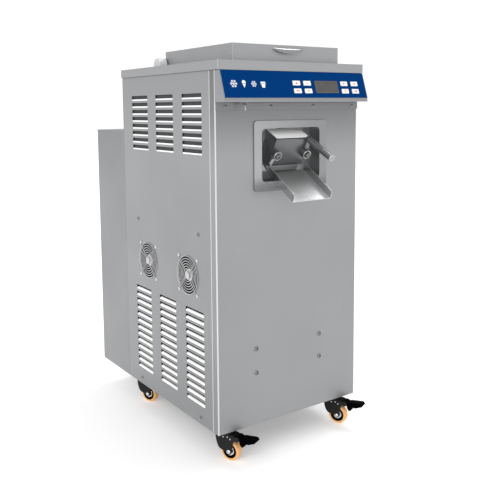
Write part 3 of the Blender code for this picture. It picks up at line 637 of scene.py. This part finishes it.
def louvre_slots(side, columns, layout, low_corner):
    """The outlines of several columns of slots, with small upper corners and rounder lower ones."""
    radii = (low_corner, 1.5, 1.5, low_corner)
    slots = []
    for place in columns:
        middle = across(side, place)
        half = layout["width"] / 2
        for row in range(layout["rows"]):
            top = layout["top"] - row * LOUVRE_PITCH
            spans = (middle - half, middle + half), (top - layout["height"], top)
            slots.append(rounded_rectangle(*spans, radii))
    return slots


def louvre_blades(side, columns, layout):
    """The lip of each slot: it rises from the lower edge, curls inwards and tapers at its rear end."""
    rise, reach = layout["lip"]
    thick, taper, rear = 0.9, layout["taper"], WALL_SIGN[side]
    turns = [math.radians(step * 15) for step in range(7)]
    sweep = [(rise * math.sin(t), -0.5 - reach * (1 - math.cos(t))) for t in turns]
    outline = sweep + [(y - thick * 0.3, z - thick) for y, z in reversed(sweep)]
    faces = prism(outline, "x", 0, 1)[1]
    half = layout["width"] / 2 - 0.4
    blades = []
    for place in columns:
        for row in range(layout["rows"]):
            foot = layout["top"] - row * LOUVRE_PITCH - layout["height"] + 0.4
            points = []
            for end in (-1, 1):
                for y, z in outline:
                    cut = taper * max(0.0, y / rise) ** 2 if end == rear else 0.0
                    points.append((across(side, place) + end * (half - cut), y + foot, z))
            blades.append((points, faces))
    return joined(blades)


def side_panel(side, fans):
    low, high = across(side, CORNER_RETURN + GAP), across(side, DEPTH - SHEET - GAP)
    outline = rounded_rectangle((min(low, high), max(low, high)), (0, PANEL_TOP), 0.8, 2)
    holes = louvre_slots(side, LOUVRE_DEPTHS, UPPER_LOUVRE, 2.0)
    holes += louvre_slots(side, LOUVRE_DEPTHS, LOWER_LOUVRE, 5.5)
    holes += [arc((across(side, depth), FAN_HEIGHT), FAN_BORE, 0, 352.5, 47) for depth in fans]
    face = wall(side, HALF_WIDTH)
    node = f"{side}_side_panel"
    sheet(node + "_look", outline, holes, SHEET, 0.35, face, "panel_side",
          replaces=(node,))
    blades = [louvre_blades(side, LOUVRE_DEPTHS, layout) for layout in (UPPER_LOUVRE, LOWER_LOUVRE)]
    # The blades take the near-white painted light.
    piece(f"louvre_blades_{side}", joined(blades), "blade", place=face)


def near(value, target):
    return abs(value - target) < 0.05


def front_fold(a, b):
    """The upright folds at the front panel's corners."""
    return all(near(abs(p.x), HALF_WIDTH) and near(p.y, 0) for p in (a, b)) and abs(a.z - b.z) > 10


def upright(a, b):
    return near(a.x, b.x) and near(a.y, b.y) and abs(a.z - b.z) > 10


def front_panel():
    # The rounded faces of the corner folds take the painted highlight.
    refined("front_panel", ("panel_front", "burnished"), "stainless_panel", (3.0, 4, front_fold, 1),
            (0.4, 1))
    # Thin strips along the rear edges of the corner returns, in the painted highlight.
    seam = [(CORNER_RETURN - 1.2, -0.3), (CORNER_RETURN - 0.8, 0.4), (CORNER_RETURN + 1.8, 0.4),
            (CORNER_RETURN + 2.2, -0.3)]
    top = extent("top_cover")[0].z - 0.5
    seams = [prism([(side * (HALF_WIDTH + out), depth) for depth, out in seam], "z", 0.5, top)
             for side in (-1, 1)]
    piece("corner_seam_painted_highlights", joined(seams), "burnished", round_off=0.2)


def folded_box(node, finish, corner, edge):
    """A sheet-metal box: wide radii on its upright outer folds, smaller ones on its other outer edges."""
    low, high = extent(node)

    def at_side(point, axis):
        return min(abs(point[axis] - low[axis]), abs(point[axis] - high[axis])) < 0.1

    def outer(a, b):
        middle = (a + b) / 2
        return at_side(middle, 0) or at_side(middle, 1)

    def corner_fold(a, b):
        return upright(a, b) and outer(a, b) and at_side(a, 0) and at_side(a, 1)

    def top_edge(a, b):
        return near(a.z, high.z) and near(b.z, high.z) and outer(a, b)

    refined(node, finish, "stainless_panel", (corner, 4, corner_fold), (edge, 3, top_edge))


def cabinet():
    side_panel("left", FAN_DEPTHS.values())
    side_panel("right", ())
    front_panel()
    folded_box("top_cover", "panel_cover", 3.5, 2.0)
    folded_box("rear_housing", "panel_rear", 2.5, 2.0)
    folded_box("hopper_lid", "panel_cover", 2.0, 1.6)
    refined("back_panel", "panel_level", "stainless_panel", (0.5, 2))
    refined("clamp_strip", "panel_front", "stainless_panel", (0.7, 2))
    refined("base_plate", "black_steel", "black_steel", (0.6, 2))
    refined("hopper", "panel_level", "stainless_panel", (0.5, 2))
    face = wall("rear", REAR_DEPTH)
    # The rear blades take the near-white painted light.
    piece("louvre_blades_rear", louvre_blades("rear", REAR_COLUMNS, REAR_LOUVRE), "blade",
          place=face)


# ---------------- fasteners


def cross_head(radius, height):
    """A domed screw head with the four arms of its recess standing a hair proud of the dome."""
    head = dome(radius, height, 24)
    arm = radius * 0.55
    bar_box = box((-arm, arm), (-radius * 0.12, radius * 0.12), (height * 0.8, height * 1.02))
    bars = [moved(bar_box, spin(turn)) for turn in (45, 135)]
    return head, joined(bars)


def screw_row(name, side, distance, places, levels, radius, height, finish="screw"):
    """Screws on a wall: bright heads in one piece and, in another, the arms of their cross recess, dark as
    painted shade.
    """
    head, recess = cross_head(radius, height)
    face = wall(side, distance)
    spots = [shift(across(side, place), level) for place in places for level in levels]
    washer = turned([(0, 0), (radius * 1.25, 0), (radius * 1.25, height * 0.18), (0, height * 0.3)], 24)
    heads = joined([moved(shape, spot) for spot in spots for shape in (head, washer)])
    piece(f"{name}_heads", heads, finish, place=face)
    recesses = joined([moved(recess, spot) for spot in spots])
    piece(f"{name}_recesses", recesses, "black_steel", place=face)


def screws():
    """Each row: its wall and the wall's distance, places across it, heights, head radius, head height."""
    rows = {
        "left_panel_screw": ("left", HALF_WIDTH, (95.0, 475.0), (21.0, 571.0), 5.0, 2.6),
        "right_panel_screw": ("right", HALF_WIDTH, (95.0, 475.0), (21.0, 571.0), 5.0, 2.6),
        "front_panel_screw": ("front", 0.0, (-129.0, 114.0), (157.5, 230.0), 6.4, 3.6),
        "strip_screw": ("front", 4.6, (-233.0, -76.0, 81.5, 239.0), (937.5,), 4.4, 2.4),
        "bezel_screw": ("front", 4.0, (-54.0,), (701.5,), 3.6, 2.2),
        "rear_housing_screw": ("rear", REAR_DEPTH, (-250.0, 250.0), (24.0, 430.0, 836.0), 4.4, 1.0),
        "back_panel_screw": ("rear", DEPTH, (-250.0, 0.0, 250.0), (900.0, 1010.0), 4.4, 2.2),
    }
    for name, row in rows.items():
        screw_row(name, *row)


# ---------------- fans


def fan_guard(position, depth):
    wire, hub, count, first, step = 1.35, 13.0, 6, 19.2, 7.7
    flat = Matrix.Translation((0, 0, 2.0)) @ Matrix.Scale(0.45, 4, Z_AXIS)
    rings = [moved(ring(first + step * i, wire), flat) for i in range(count)]
    reach = FAN_SCREW * math.sqrt(2)
    struts = []
    for turn in (45, 135, 225, 315):
        line = [(hub - 3, 0, 1.6), (40, 0, 1.3), (reach - 4.2, 0, 1.3)]
        struts.append(moved(tube(line, 0.9), spin(turn)))
        struts.append(moved(ring(4.0, 1.0, 1.1, 20, 8), spin(turn) @ shift(reach, 0)))
    plate = turned([(0, 1.0), (hub, 1.0), (hub, 2.2), (hub - 2, 3.2), (0, 3.5)], 32)
    face = wall("left", HALF_WIDTH) @ shift(across("left", depth), FAN_HEIGHT)
    piece(f"fan_guard_{position}_look", joined([*rings, *struts, plate]), "wire",
          place=face, replaces=(f"fan_guard_{position}",))
    places, levels = ([middle - FAN_SCREW, middle + FAN_SCREW] for middle in (depth, FAN_HEIGHT))
    screw_row(f"fan_{position}_screw", "left", HALF_WIDTH, places, levels, 4.4, 3.6, "zinc")


def fan_blade(inner, outer, thickness):
    """A cambered, twisted blade from the hub to its tip, drawn as a thin closed sheet."""
    spans, chords = 6, 6
    skins = []
    for lift in (-thickness / 2, thickness / 2):
        for i in range(spans + 1):
            t = i / spans
            radius = inner + (outer - inner) * t
            chord = 21 + 10 * t
            pitch = math.radians(48 - 22 * t)
            for j in range(chords + 1):
                s = j / chords - 0.5
                camber = 3.0 * (0.25 - s * s)
                across_hub = chord * s * math.cos(pitch) + camber * math.sin(pitch) + 5 * t * t
                along = chord * s * math.sin(pitch) - camber * math.cos(pitch) + lift
                angle = across_hub / radius
                skins.append((radius * math.cos(angle), radius * math.sin(angle), along))
    width, count = chords + 1, (spans + 1) * (chords + 1)
    faces = []
    for i in range(spans):
        for j in range(chords):
            a = i * width + j
            faces.append((a, a + 1, a + width + 1, a + width))
            faces.append((count + a, count + a + width, count + a + width + 1, count + a + 1))
    border = list(range(width)) + [i * width + chords for i in range(1, spans + 1)]
    border += [spans * width + j for j in range(chords - 1, -1, -1)]
    border += [i * width for i in range(spans - 1, 0, -1)]
    for a, b in zip(border, border[1:] + border[:1]):
        faces.append((b, a, count + a, count + b))
    return skins, faces


def fan_rotor(position, depth):
    low, high = extent(f"fan_rotor_{position}")
    middle = (low.x + high.x) / 2
    face = wall("left", 0) @ shift(across("left", depth), FAN_HEIGHT, -middle)
    half = (high.x - low.x) / 2
    hub = turned([(0, -half), (18, -half), (19, -half + 2), (19, half - 3), (16.5, half - 0.6),
                  (12, half), (0, half)], 36)
    blades = [moved(fan_blade(17.5, 52.0, 1.4), spin(360 * i / 7)) for i in range(7)]
    body = f"fan_{position}"
    piece(f"fan_rotor_{position}_look", joined([hub, *blades]), "grey_plastic", body=body,
          place=face, replaces=(f"fan_rotor_{position}",))
    # The hub's bright disc is painted glare on the hub.
    label = turned([(0, half - 0.2), (18.4, half - 1.2), (18.4, half - 0.4), (17, half + 0.3),
                    (0, half + 0.3)], 32)
    piece(f"fan_hub_{position}", label, "zinc", body=body, place=face)


def fans():
    for position, depth in FAN_DEPTHS.items():
        dress(f"fan_frame_{position}", "black_plastic")
        fan_guard(position, depth)
        fan_rotor(position, depth)


# ---------------- control panel


def control_face():
    rise = Vector((0, HOUSING_LIP - HOUSING_NOSE[0], HOUSING_TOP - HOUSING_NOSE[1]))
    return basis((0, HOUSING_LIP, HOUSING_TOP), X_AXIS, rise)


def bar(length, width, turn=0.0, x=0.0, y=0.0):
    """A flat bar's outline, centred on (x, y) and turned."""
    angle = math.radians(turn)
    along, side = Vector((math.cos(angle), math.sin(angle))), Vector((-math.sin(angle), math.cos(angle)))
    signs = ((-1, -1), (1, -1), (1, 1), (-1, 1))
    return [tuple(Vector((x, y)) + a * along * length / 2 + b * side * width / 2) for a, b in signs]


def snowflake(size):
    outlines = [bar(2 * size, size * 0.13, turn) for turn in (0, 60, 120)]
    for arm in range(6):
        angle = math.radians(60 * arm)
        for far, length in ((0.55, 0.42), (0.8, 0.28)):
            root = Vector((math.cos(angle), math.sin(angle))) * size * far
            for turn in (55, -55):
                lean = angle + math.radians(turn)
                end = root + Vector((math.cos(lean), math.sin(lean))) * size * length
                middle = (root + end) / 2
                outlines.append(bar(size * length, size * 0.11, math.degrees(lean), *middle))
    return outlines


def cone_mark(size):
    """A wafer cone with a round scoop on it."""
    cone = [(-size * 0.52, size * 0.02), (0, -size), (size * 0.52, size * 0.02)]
    scoop = arc((0, size * 0.38), size * 0.56, -22, 202, 18)
    return [cone, scoop]


def tub_mark(size):
    """A tub with two scoops above its rim."""
    tub = [(-size * 0.62, -size * 0.05), (-size * 0.42, -size * 0.95), (size * 0.42, -size * 0.95),
           (size * 0.62, -size * 0.05)]
    rim = bar(size * 1.6, size * 0.14, 0, 0, size * 0.08)
    scoops = [arc((x, size * 0.26), size * 0.4, 0, 180, 14) for x in (-size * 0.36, size * 0.36)]
    return [tub, rim, *scoops]


def flat_marks(outlines, level, thickness, spot):
    """Outlines as thin raised prints; each lies a hair above the last, so that they never share a face."""
    prints = [prism(outline, "z", level - 0.05, level + thickness + 0.004 * i)
              for i, outline in enumerate(outlines)]
    return joined([moved(shape, spot) for shape in prints])


def key_symbols():
    """Plain symbols for the eight keys, upper row first."""
    triangle = [(-2.4, -2.8), (3.2, 0), (-2.4, 2.8)]
    arrow_up = [(-3.2, -1.8), (3.2, -1.8), (0, 2.6)]
    asterisk = [bar(6.4, 1.0, turn) for turn in (20, 80, 140)]
    steps = [bar(1.6, 1.6 + i * 1.5, 0, -3 + i * 2.2, -2 + (1.6 + i * 1.5) / 2) for i in range(4)]
    clock = [bar(1.0, 3.6, 0, 0, 1.2), bar(3.2, 1.0, 0, 1.1, 0)]
    clock += [arc(spot, 0.7, 0, 315, 7) for spot in arc((0, 0.2), 4.2, 0, 330, 11)]
    return [
        [[(-3.4, -2.6), (3.4, -2.6), (3.4, -1.4), (-3.4, -1.4)], arrow_up],
        [bar(6.6, 1.3)],
        [triangle],
        asterisk,
        [bar(8.4, 1.1, 0, 0, -1.6), bar(8.4, 1.1, 0, 0, 0.3), bar(5.0, 1.1, 0, -1.7, 2.2)],
        [bar(6.6, 1.3), bar(6.6, 1.3, 90)],
        clock,
        steps,
    ]


def control_keys():
    face = control_face()
    half_x, half_y = KEY_SIZE[0] / 2, KEY_SIZE[1] / 2
    cap = prism(rounded_rectangle((-half_x, half_x), (-half_y, half_y), 1.6, 3), "z", -6.5, KEY_PROUD)
    spots = [face @ shift(x, y) for y in KEY_ROWS for x in KEY_COLUMNS]
    for number, (spot, symbol) in enumerate(zip(spots, key_symbols()), 1):
        body = f"key_{number}"
        piece(f"{body}_cap", cap, "white", body=body, place=spot, round_off=0.5,
              replaces=(body,))
        marks = flat_marks(symbol, KEY_PROUD, 0.12, Matrix.Scale(1.25, 4, X_AXIS))
        piece(f"{body}_symbol", marks, "red", body=body, place=spot)


def control_panel():
    face = control_face()
    refined("control_housing", "panel_level", "stainless_panel", (1.0, 3))
    refined("control_film", "blue", "blue_film", (0.25, 1))
    dress("display_lens", "display")
    dress("keypad_board", "board")
    (x0, x1), (y0, y1) = DISPLAY_X, DISPLAY_Y
    rim = rounded_rectangle((x0 - 1.2, x1 + 1.2), (y0 - 1.2, y1 + 1.2), 1.4, 3)
    window = rounded_rectangle((x0 + 1.6, x1 - 1.6), (y0 + 1.6, y1 - 1.6), 1.0, 3)
    sheet("display_rim", rim, [window], 1.1, 0.2, face @ shift(0, 0, 2.2), "display_rim")
    edge = [prism(bar(1.8, FILM_HEIGHT - 1.5, 0, side * 263.6, -FILM_HEIGHT / 2 - 0.2), "z", 1.05, 1.5)
            for side in (-1, 1)]
    piece("film_edge_trim", joined(edge), "polished", place=face, round_off=0.15)
    size, level = 11.0, -39.5
    marks = [(snowflake(size), -226.0), (cone_mark(size), -192.0), (snowflake(size * 0.8), -159.0),
             (tub_mark(size), -127.0)]
    for number, (outlines, x) in enumerate(marks, 1):
        prints = flat_marks(outlines, FILM_FACE, 0.1, shift(x, level))
        piece(f"pictogram_{number}", prints, "white_print", place=face)
    control_keys()


def toggle():
    x, depth = TOGGLE
    seat = basis((x, depth, HOUSING_CHIN), X_AXIS, Y_AXIS)
    dress("toggle_switch", "black_plastic")
    refined("toggle_lever", "polished", "polished_steel", (0.3, 2))
    collar = turned([(6.0, -0.3), (9.5, -0.3), (9.5, -2.2), (6.0, -2.2)], 6)
    thread = joined([ring(5.6, 0.45, -2.6 - 1.1 * i, 24, 6) for i in range(4)])
    piece("toggle_nut", joined([collar, thread]), "screw", place=seat, round_off=0.3)


# ---------------- discharge


def gate_frame():
    up = (0, -math.sin(GATE_PITCH), math.cos(GATE_PITCH))
    return basis(GATE_TOP_EDGE, X_AXIS, up)


def socket_head(radius, height):
    """A bolt head with a dished round socket, standing on z = 0."""
    profile = [(0, 0), (radius, 0), (radius, height - 1.2), (radius - 1.2, height),
               (radius * 0.55, height), (radius * 0.5, height * 0.45), (0, height * 0.35)]
    return turned(profile, 24)


def discharge():
    refined("discharge_bezel", "bezel", "polished_steel", (0.9, 3))
    refined("discharge_door", "cast", "polished_steel", (2.2, 3))
    refined("gate_plate", "cast", "polished_steel", (0.8, 3))
    refined("gate_handle", "handle", "polished_steel", (0.8, 3))
    # The chute's rounded edges take the painted highlight.
    refined("discharge_chute", ("polished", "burnished"), "polished_steel", (0.6, 3, None, 1))
    # A lighter plate over the chute's floor carries its painted light and painted shade.
    inner = CHUTE_HALF_WIDTH - SHEET - 0.4
    floor = box((-inner, inner), (SHEET - 0.05, SHEET + 0.4), (2 - CHUTE_LENGTH, -0.8))
    slope = basis(CHUTE_TIP, X_AXIS, (0, -math.sin(CHUTE_PITCH), math.cos(CHUTE_PITCH)))
    piece("chute_floor", floor, "chute", place=slope, round_off=0.15)
    place = gate_frame()
    # A near-white sheet over the hood's top: painted light.
    hood = box((-58.5, 64.5), (0.2, 1.4), (-55.0, 0.1))
    piece("painted_light_hood_sheet", hood, "hood", place=place, round_off=0.5)
    # A bright strip on the gate's lower lip: a painted highlight.
    lip_x, lip_y = (2 - GATE_HALF_WIDTH, GATE_HALF_WIDTH - 22), (-GATE_DROP - 0.3, -GATE_DROP + 1.6)
    lip = box(lip_x, lip_y, (9.8, 11.8))
    piece("gate_lip_painted_highlight", lip, "bright", body="gate", place=place, round_off=0.5)
    # The gate's ear, in the painted highlight.
    ear = prism([(-66.5, -76), (-60, -58), (-53.5, -64), (-58.5, -86)], "z", 8.0, 12.6)
    piece("gate_ear_fold", ear, "burnished", body="gate", place=place, round_off=0.6)
    # Bright rings on the rims of the bosses and on the handle's end: painted highlights.
    boss_rim = ring(BOSS_RADIUS - 0.9, 0.9, 24.0, 32, 8)
    handle_rim = ring(HANDLE_RADIUS - 1.2, 0.8, HANDLE_END - 0.9, 32, 8)
    rims = [moved(boss_rim, shift(x, -BOSS_DROP)) for x in (-BOSS_X, BOSS_X)]
    rims.append(moved(handle_rim, shift(HANDLE_X, -HANDLE_DROP)))
    piece("gate_rim_painted_highlights", joined(rims), "bright", body="gate", place=place)
    nut = turned([(0, 28), (8.4, 28), (8.4, 30.5), (7.2, 31.6), (0, 31.6)], 6)
    washer = turned([(0, 24.2), (11.5, 24.2), (11.5, 25.4), (0, 25.6)], 28)
    left = shift(-BOSS_X, -BOSS_DROP)
    bolt = moved(socket_head(7.5, 5.5), shift(0, 0, 25.2))
    piece("gate_bolt_left", moved(joined([washer, bolt]), left), "screw", body="gate",
          place=place)
    right = shift(BOSS_X, -BOSS_DROP)
    nut_and_bolt = joined([moved(nut, shift(0, 0, 0.2)), moved(socket_head(5.2, 3), shift(0, 0, 31))])
    piece("gate_bolt_right", moved(nut_and_bolt, right), "screw", place=place)


# ---------------- lid


def lid_pull():
    """A cup pull: half of a flattened ellipsoid with a rolled lower rim, hollow underneath; the rim is drawn
    bright as a painted highlight.
    """
    low, high = extent("lid_handle")
    half, reach, drop = (high.x - low.x) / 2, high.y - low.y, high.z - low.z
    rows, columns, wall = 8, 32, 1.6
    points = []
    for shrink in (0.0, wall):
        for row in range(rows + 1):
            fall = math.radians(90.0 * row / rows)
            for column in range(columns + 1):
                across_pull = math.pi * column / columns
                bow = math.sin(across_pull)
                x = -(half - shrink) * math.cos(across_pull)
                y = high.y - (reach - shrink) * bow * math.sin(fall)
                z = high.z - shrink - (drop - shrink) * bow * (1 - math.cos(fall))
                points.append((x, y, z))
    width, count = columns + 1, (rows + 1) * (columns + 1)
    faces = []
    for row in range(rows):
        for column in range(columns):
            a = row * width + column
            faces.append((a, a + width, a + width + 1, a + 1))
            faces.append((count + a, count + a + 1, count + a + width + 1, count + a + width))
    edge = rows * width
    faces += [(edge + c, count + edge + c, count + edge + c + 1, edge + c + 1) for c in range(columns)]
    piece("lid_pull", (points, faces), "handle", body="lid", replaces=("lid_handle",))
    # A bright tube inside the pull's lower edge: a painted highlight.
    rim = [points[edge + c] for c in range(columns + 1)]
    inner_rim = [(x * 0.985, y + 1.0, z + 0.2) for x, y, z in rim]
    piece("lid_pull_rim_painted_highlight", tube(inner_rim, 0.9), "bright", body="lid")


def lid():
    lid_pull()
    dress("hinge_rod", "polished")
    for side in ("left", "right"):
        refined(f"hinge_cap_{side}", "milky", "white_plastic", (2.5, 4))
    low, high = extent("hopper_lid")
    wide, thick, front, back = 5.0, 4.0, 18.0, 385.0
    left, right = low.x + 5.0, high.x - 5.0
    outer = rounded_rectangle((left, right), (front, back), 6.0)
    inner = rounded_rectangle((left + wide, right - wide), (front + wide, back - wide), 3.0)
    seal = basis((0, 0, 0), X_AXIS, Y_AXIS) @ shift(0, 0, high.z - SHEET - 0.3)
    sheet("lid_seal", outer, [inner], thick, 0.8, seal, "white", body="lid")


# ---------------- casters


def caster_frame(x, depth):
    forward = (math.sin(CASTER_TURN), -math.cos(CASTER_TURN), 0)
    side = (-math.cos(CASTER_TURN), -math.sin(CASTER_TURN), 0)
    return basis((x, depth, 0), side, forward)


def axle_line(height_point):
    return basis((0, *height_point), Y_AXIS, Z_AXIS)


def caster_fork(label, place, braked):
    """Swivel race, dished crown and two tapering cheeks, with bright axle bolts and rivets apart."""
    race = turned([(0, -15), (19, -15), (21, -13), (21, -10.5), (18.5, -9.6), (18.5, -8.4), (21, -7.6),
                   (21, -5.4), (20, -4.6), (0, -4.6)], 40)
    crown = prism(rounded_rectangle((-16.5, 16.5), (-32, 26), 5), "z", -18, -13.5)
    tail = [(-33 + 21 * (1 - math.cos(t)), -14.2 - (AXLE[1] + 14.2) * -math.sin(t) * 0.97)
            for t in [math.radians(step * 9) for step in range(9)]]
    cheek = [*tail, *arc(AXLE, 9, 200, 385, 10), (26, -38), (29, -30), (28, -14.2)]
    parts = [race, crown, *[prism(cheek, "x", low, low + 3) for low in (-17, 14)]]
    if braked:
        y, z = PEDAL_PIVOT
        ear = [(20, z - 7.5), *arc((y, z), 7, -90, 90, 8), (20, z + 6.5)]
        parts += [prism(ear, "x", low, low + 2.6) for low in (-16.8, 14.2)]
    body = f"caster_{label}"
    piece(f"{body}_fork", joined(parts), "fork", body=body, place=place, round_off=0.6,
          replaces=(f"caster_fork_{label}",))
    bright = [moved(turned([(0, -15.5), (4, -15.5), (4, 15.5), (0, 15.5)], 16), axle_line(AXLE))]
    spots = [(AXLE, 6.6, 4.2), ((-6, -23), 2.3, 1.4), ((8, -21), 2.3, 1.4), ((17, -26), 2.3, 1.4)]
    for spot, radius, height in spots:
        for turn in (0, 180):
            head = moved(dome(radius, height, 20, 17.0), axle_line(spot) @ spin(turn, "Y"))
            bright.append(head)
    piece(f"{body}_bolts", joined(bright), "bright", body=body, place=place)


def caster_wheel(label, place):
    w, r = WHEEL_HALF_WIDTH, WHEEL_RADIUS
    hub = place @ axle_line(AXLE)
    body = f"wheel_{label}"
    tread = [(22.5, -w + 0.6), (26.6, -w), (r - 1.6, -w + 1.6), (r - 0.5, -w + 4), (r, -4), (r, 4)]
    tread += [(r - 0.5, w - 4), (r - 1.6, w - 1.6), (26.6, w), (22.5, w - 0.6)]
    piece(f"{body}_tyre", turned(tread, 64), "tyre", body=body, place=hub,
          replaces=(f"caster_wheel_{label}",))
    core = [(13.5, -5), (14, -w + 2.6), (16.4, -w + 2.6), (17.4, -7), (19.6, -7), (21.2, -w + 1.2),
            (22.6, -w + 0.8)]
    core += [(a, -b) for a, b in reversed(core)]
    piece(f"{body}_core", turned(core, 48), "black_plastic", body=body, place=hub)
    bearing = [(4.4, -w + 1.2), (13.4, -w + 1.2), (14.2, -w + 2)]
    bearing += [(a, -b) for a, b in reversed(bearing)]
    piece(f"{body}_bearing", turned(bearing, 32), "bright", body=body, place=hub)


def brake_pedal(node, place):
    """A tread on a lever, with a small rounded toe under it."""
    y, z = PEDAL_PIVOT
    hub = moved(turned([(3.6, -13.4), (6.5, -13.4), (6.5, 13.4), (3.6, 13.4)], 28), axle_line(PEDAL_PIVOT))
    lever = [(y + 4, z + 5), (y + 10, z + 6), (y + 54, z + 10), (y + 60, z + 5), (y + 56, z)]
    lever += [(y + 36, z - 8), (y + 14, z - 9), (y + 4.5, z - 5)]
    tread = [(y + 12, z + 6.6), (y + 53, z + 10.6), (y + 58, z + 5), (y + 55, z + 1), (y + 13, z - 6)]
    toe = [(y + 4, z - 4), (y + 26, z - 6), *arc((y + 14.5, z - 15), 6.5, 20, -155, 6), (y + 5, z - 9)]
    parts = [hub, prism(lever, "x", -13, 13), prism(tread, "x", -15, 15), prism(toe, "x", -12, 12)]
    piece(f"{node}_look", joined(parts), "black_plastic", body=NODES[node]["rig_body"],
          place=place, round_off=0.8, replaces=(node,))


def casters():
    for end, depth in CASTER_DEPTHS.items():
        for side, x in (("left", -CASTER_X), ("right", CASTER_X)):
            label = f"{end}_{side}"
            place = caster_frame(x, depth)
            caster_fork(label, place, end == "front")
            caster_wheel(label, place)
            if end == "front":
                brake_pedal(f"brake_pedal_{label}", place)


# ---------------- inside


def painted_shade_sheets():
    """Sheets of painted shade a little way behind each field of louvres: grey behind the upper ones, black
    behind the rest.
    """
    fields = [(side, "upper", (62.0, 512.0), (785.0, 990.0), HALF_WIDTH - 5.6, "baffle")
              for side in ("left", "right")]
    fields += [(side, "lower", (60.0, 514.0), (40.0, 352.0), HALF_WIDTH - 16.0, "rubber")
               for side in ("left", "right")]
    fields.append(("rear", "motor", (-190.0, 190.0), (520.0, 775.0), REAR_DEPTH - 16.0, "rubber"))
    for side, field, places, heights, distance, finish in fields:
        span = tuple(sorted(across(side, place) for place in places))
        sheet(f"{field}_baffle_{side}", rounded_rectangle(span, heights, 6.0), [], 1.2, 0.2,
              wall(side, distance), finish)


def inside():
    finishes = {
        "inner_steel": ("freezing_cylinder", "cylinder_shelf", "electrical_box", "driven_pulley",
                        "motor_pulley"),
        "polished": ("dasher",),
        "rubber": ("drive_belt",),
        "enamel": ("drive_motor",),
        "black_steel": ("compressor",),
        "copper": ("condenser",),
    }
    for finish, nodes in finishes.items():
        for node in nodes:
            dress(node, finish)
    refined("cable_gland", "black_plastic", "black_plastic", (0.5, 2))


# ---------------- the whole machine

make_camera()
make_studio()
MATERIALS = make_materials()
cabinet()
screws()
fans()
control_panel()
toggle()
discharge()
lid()
casters()
painted_shade_sheets()
inside()
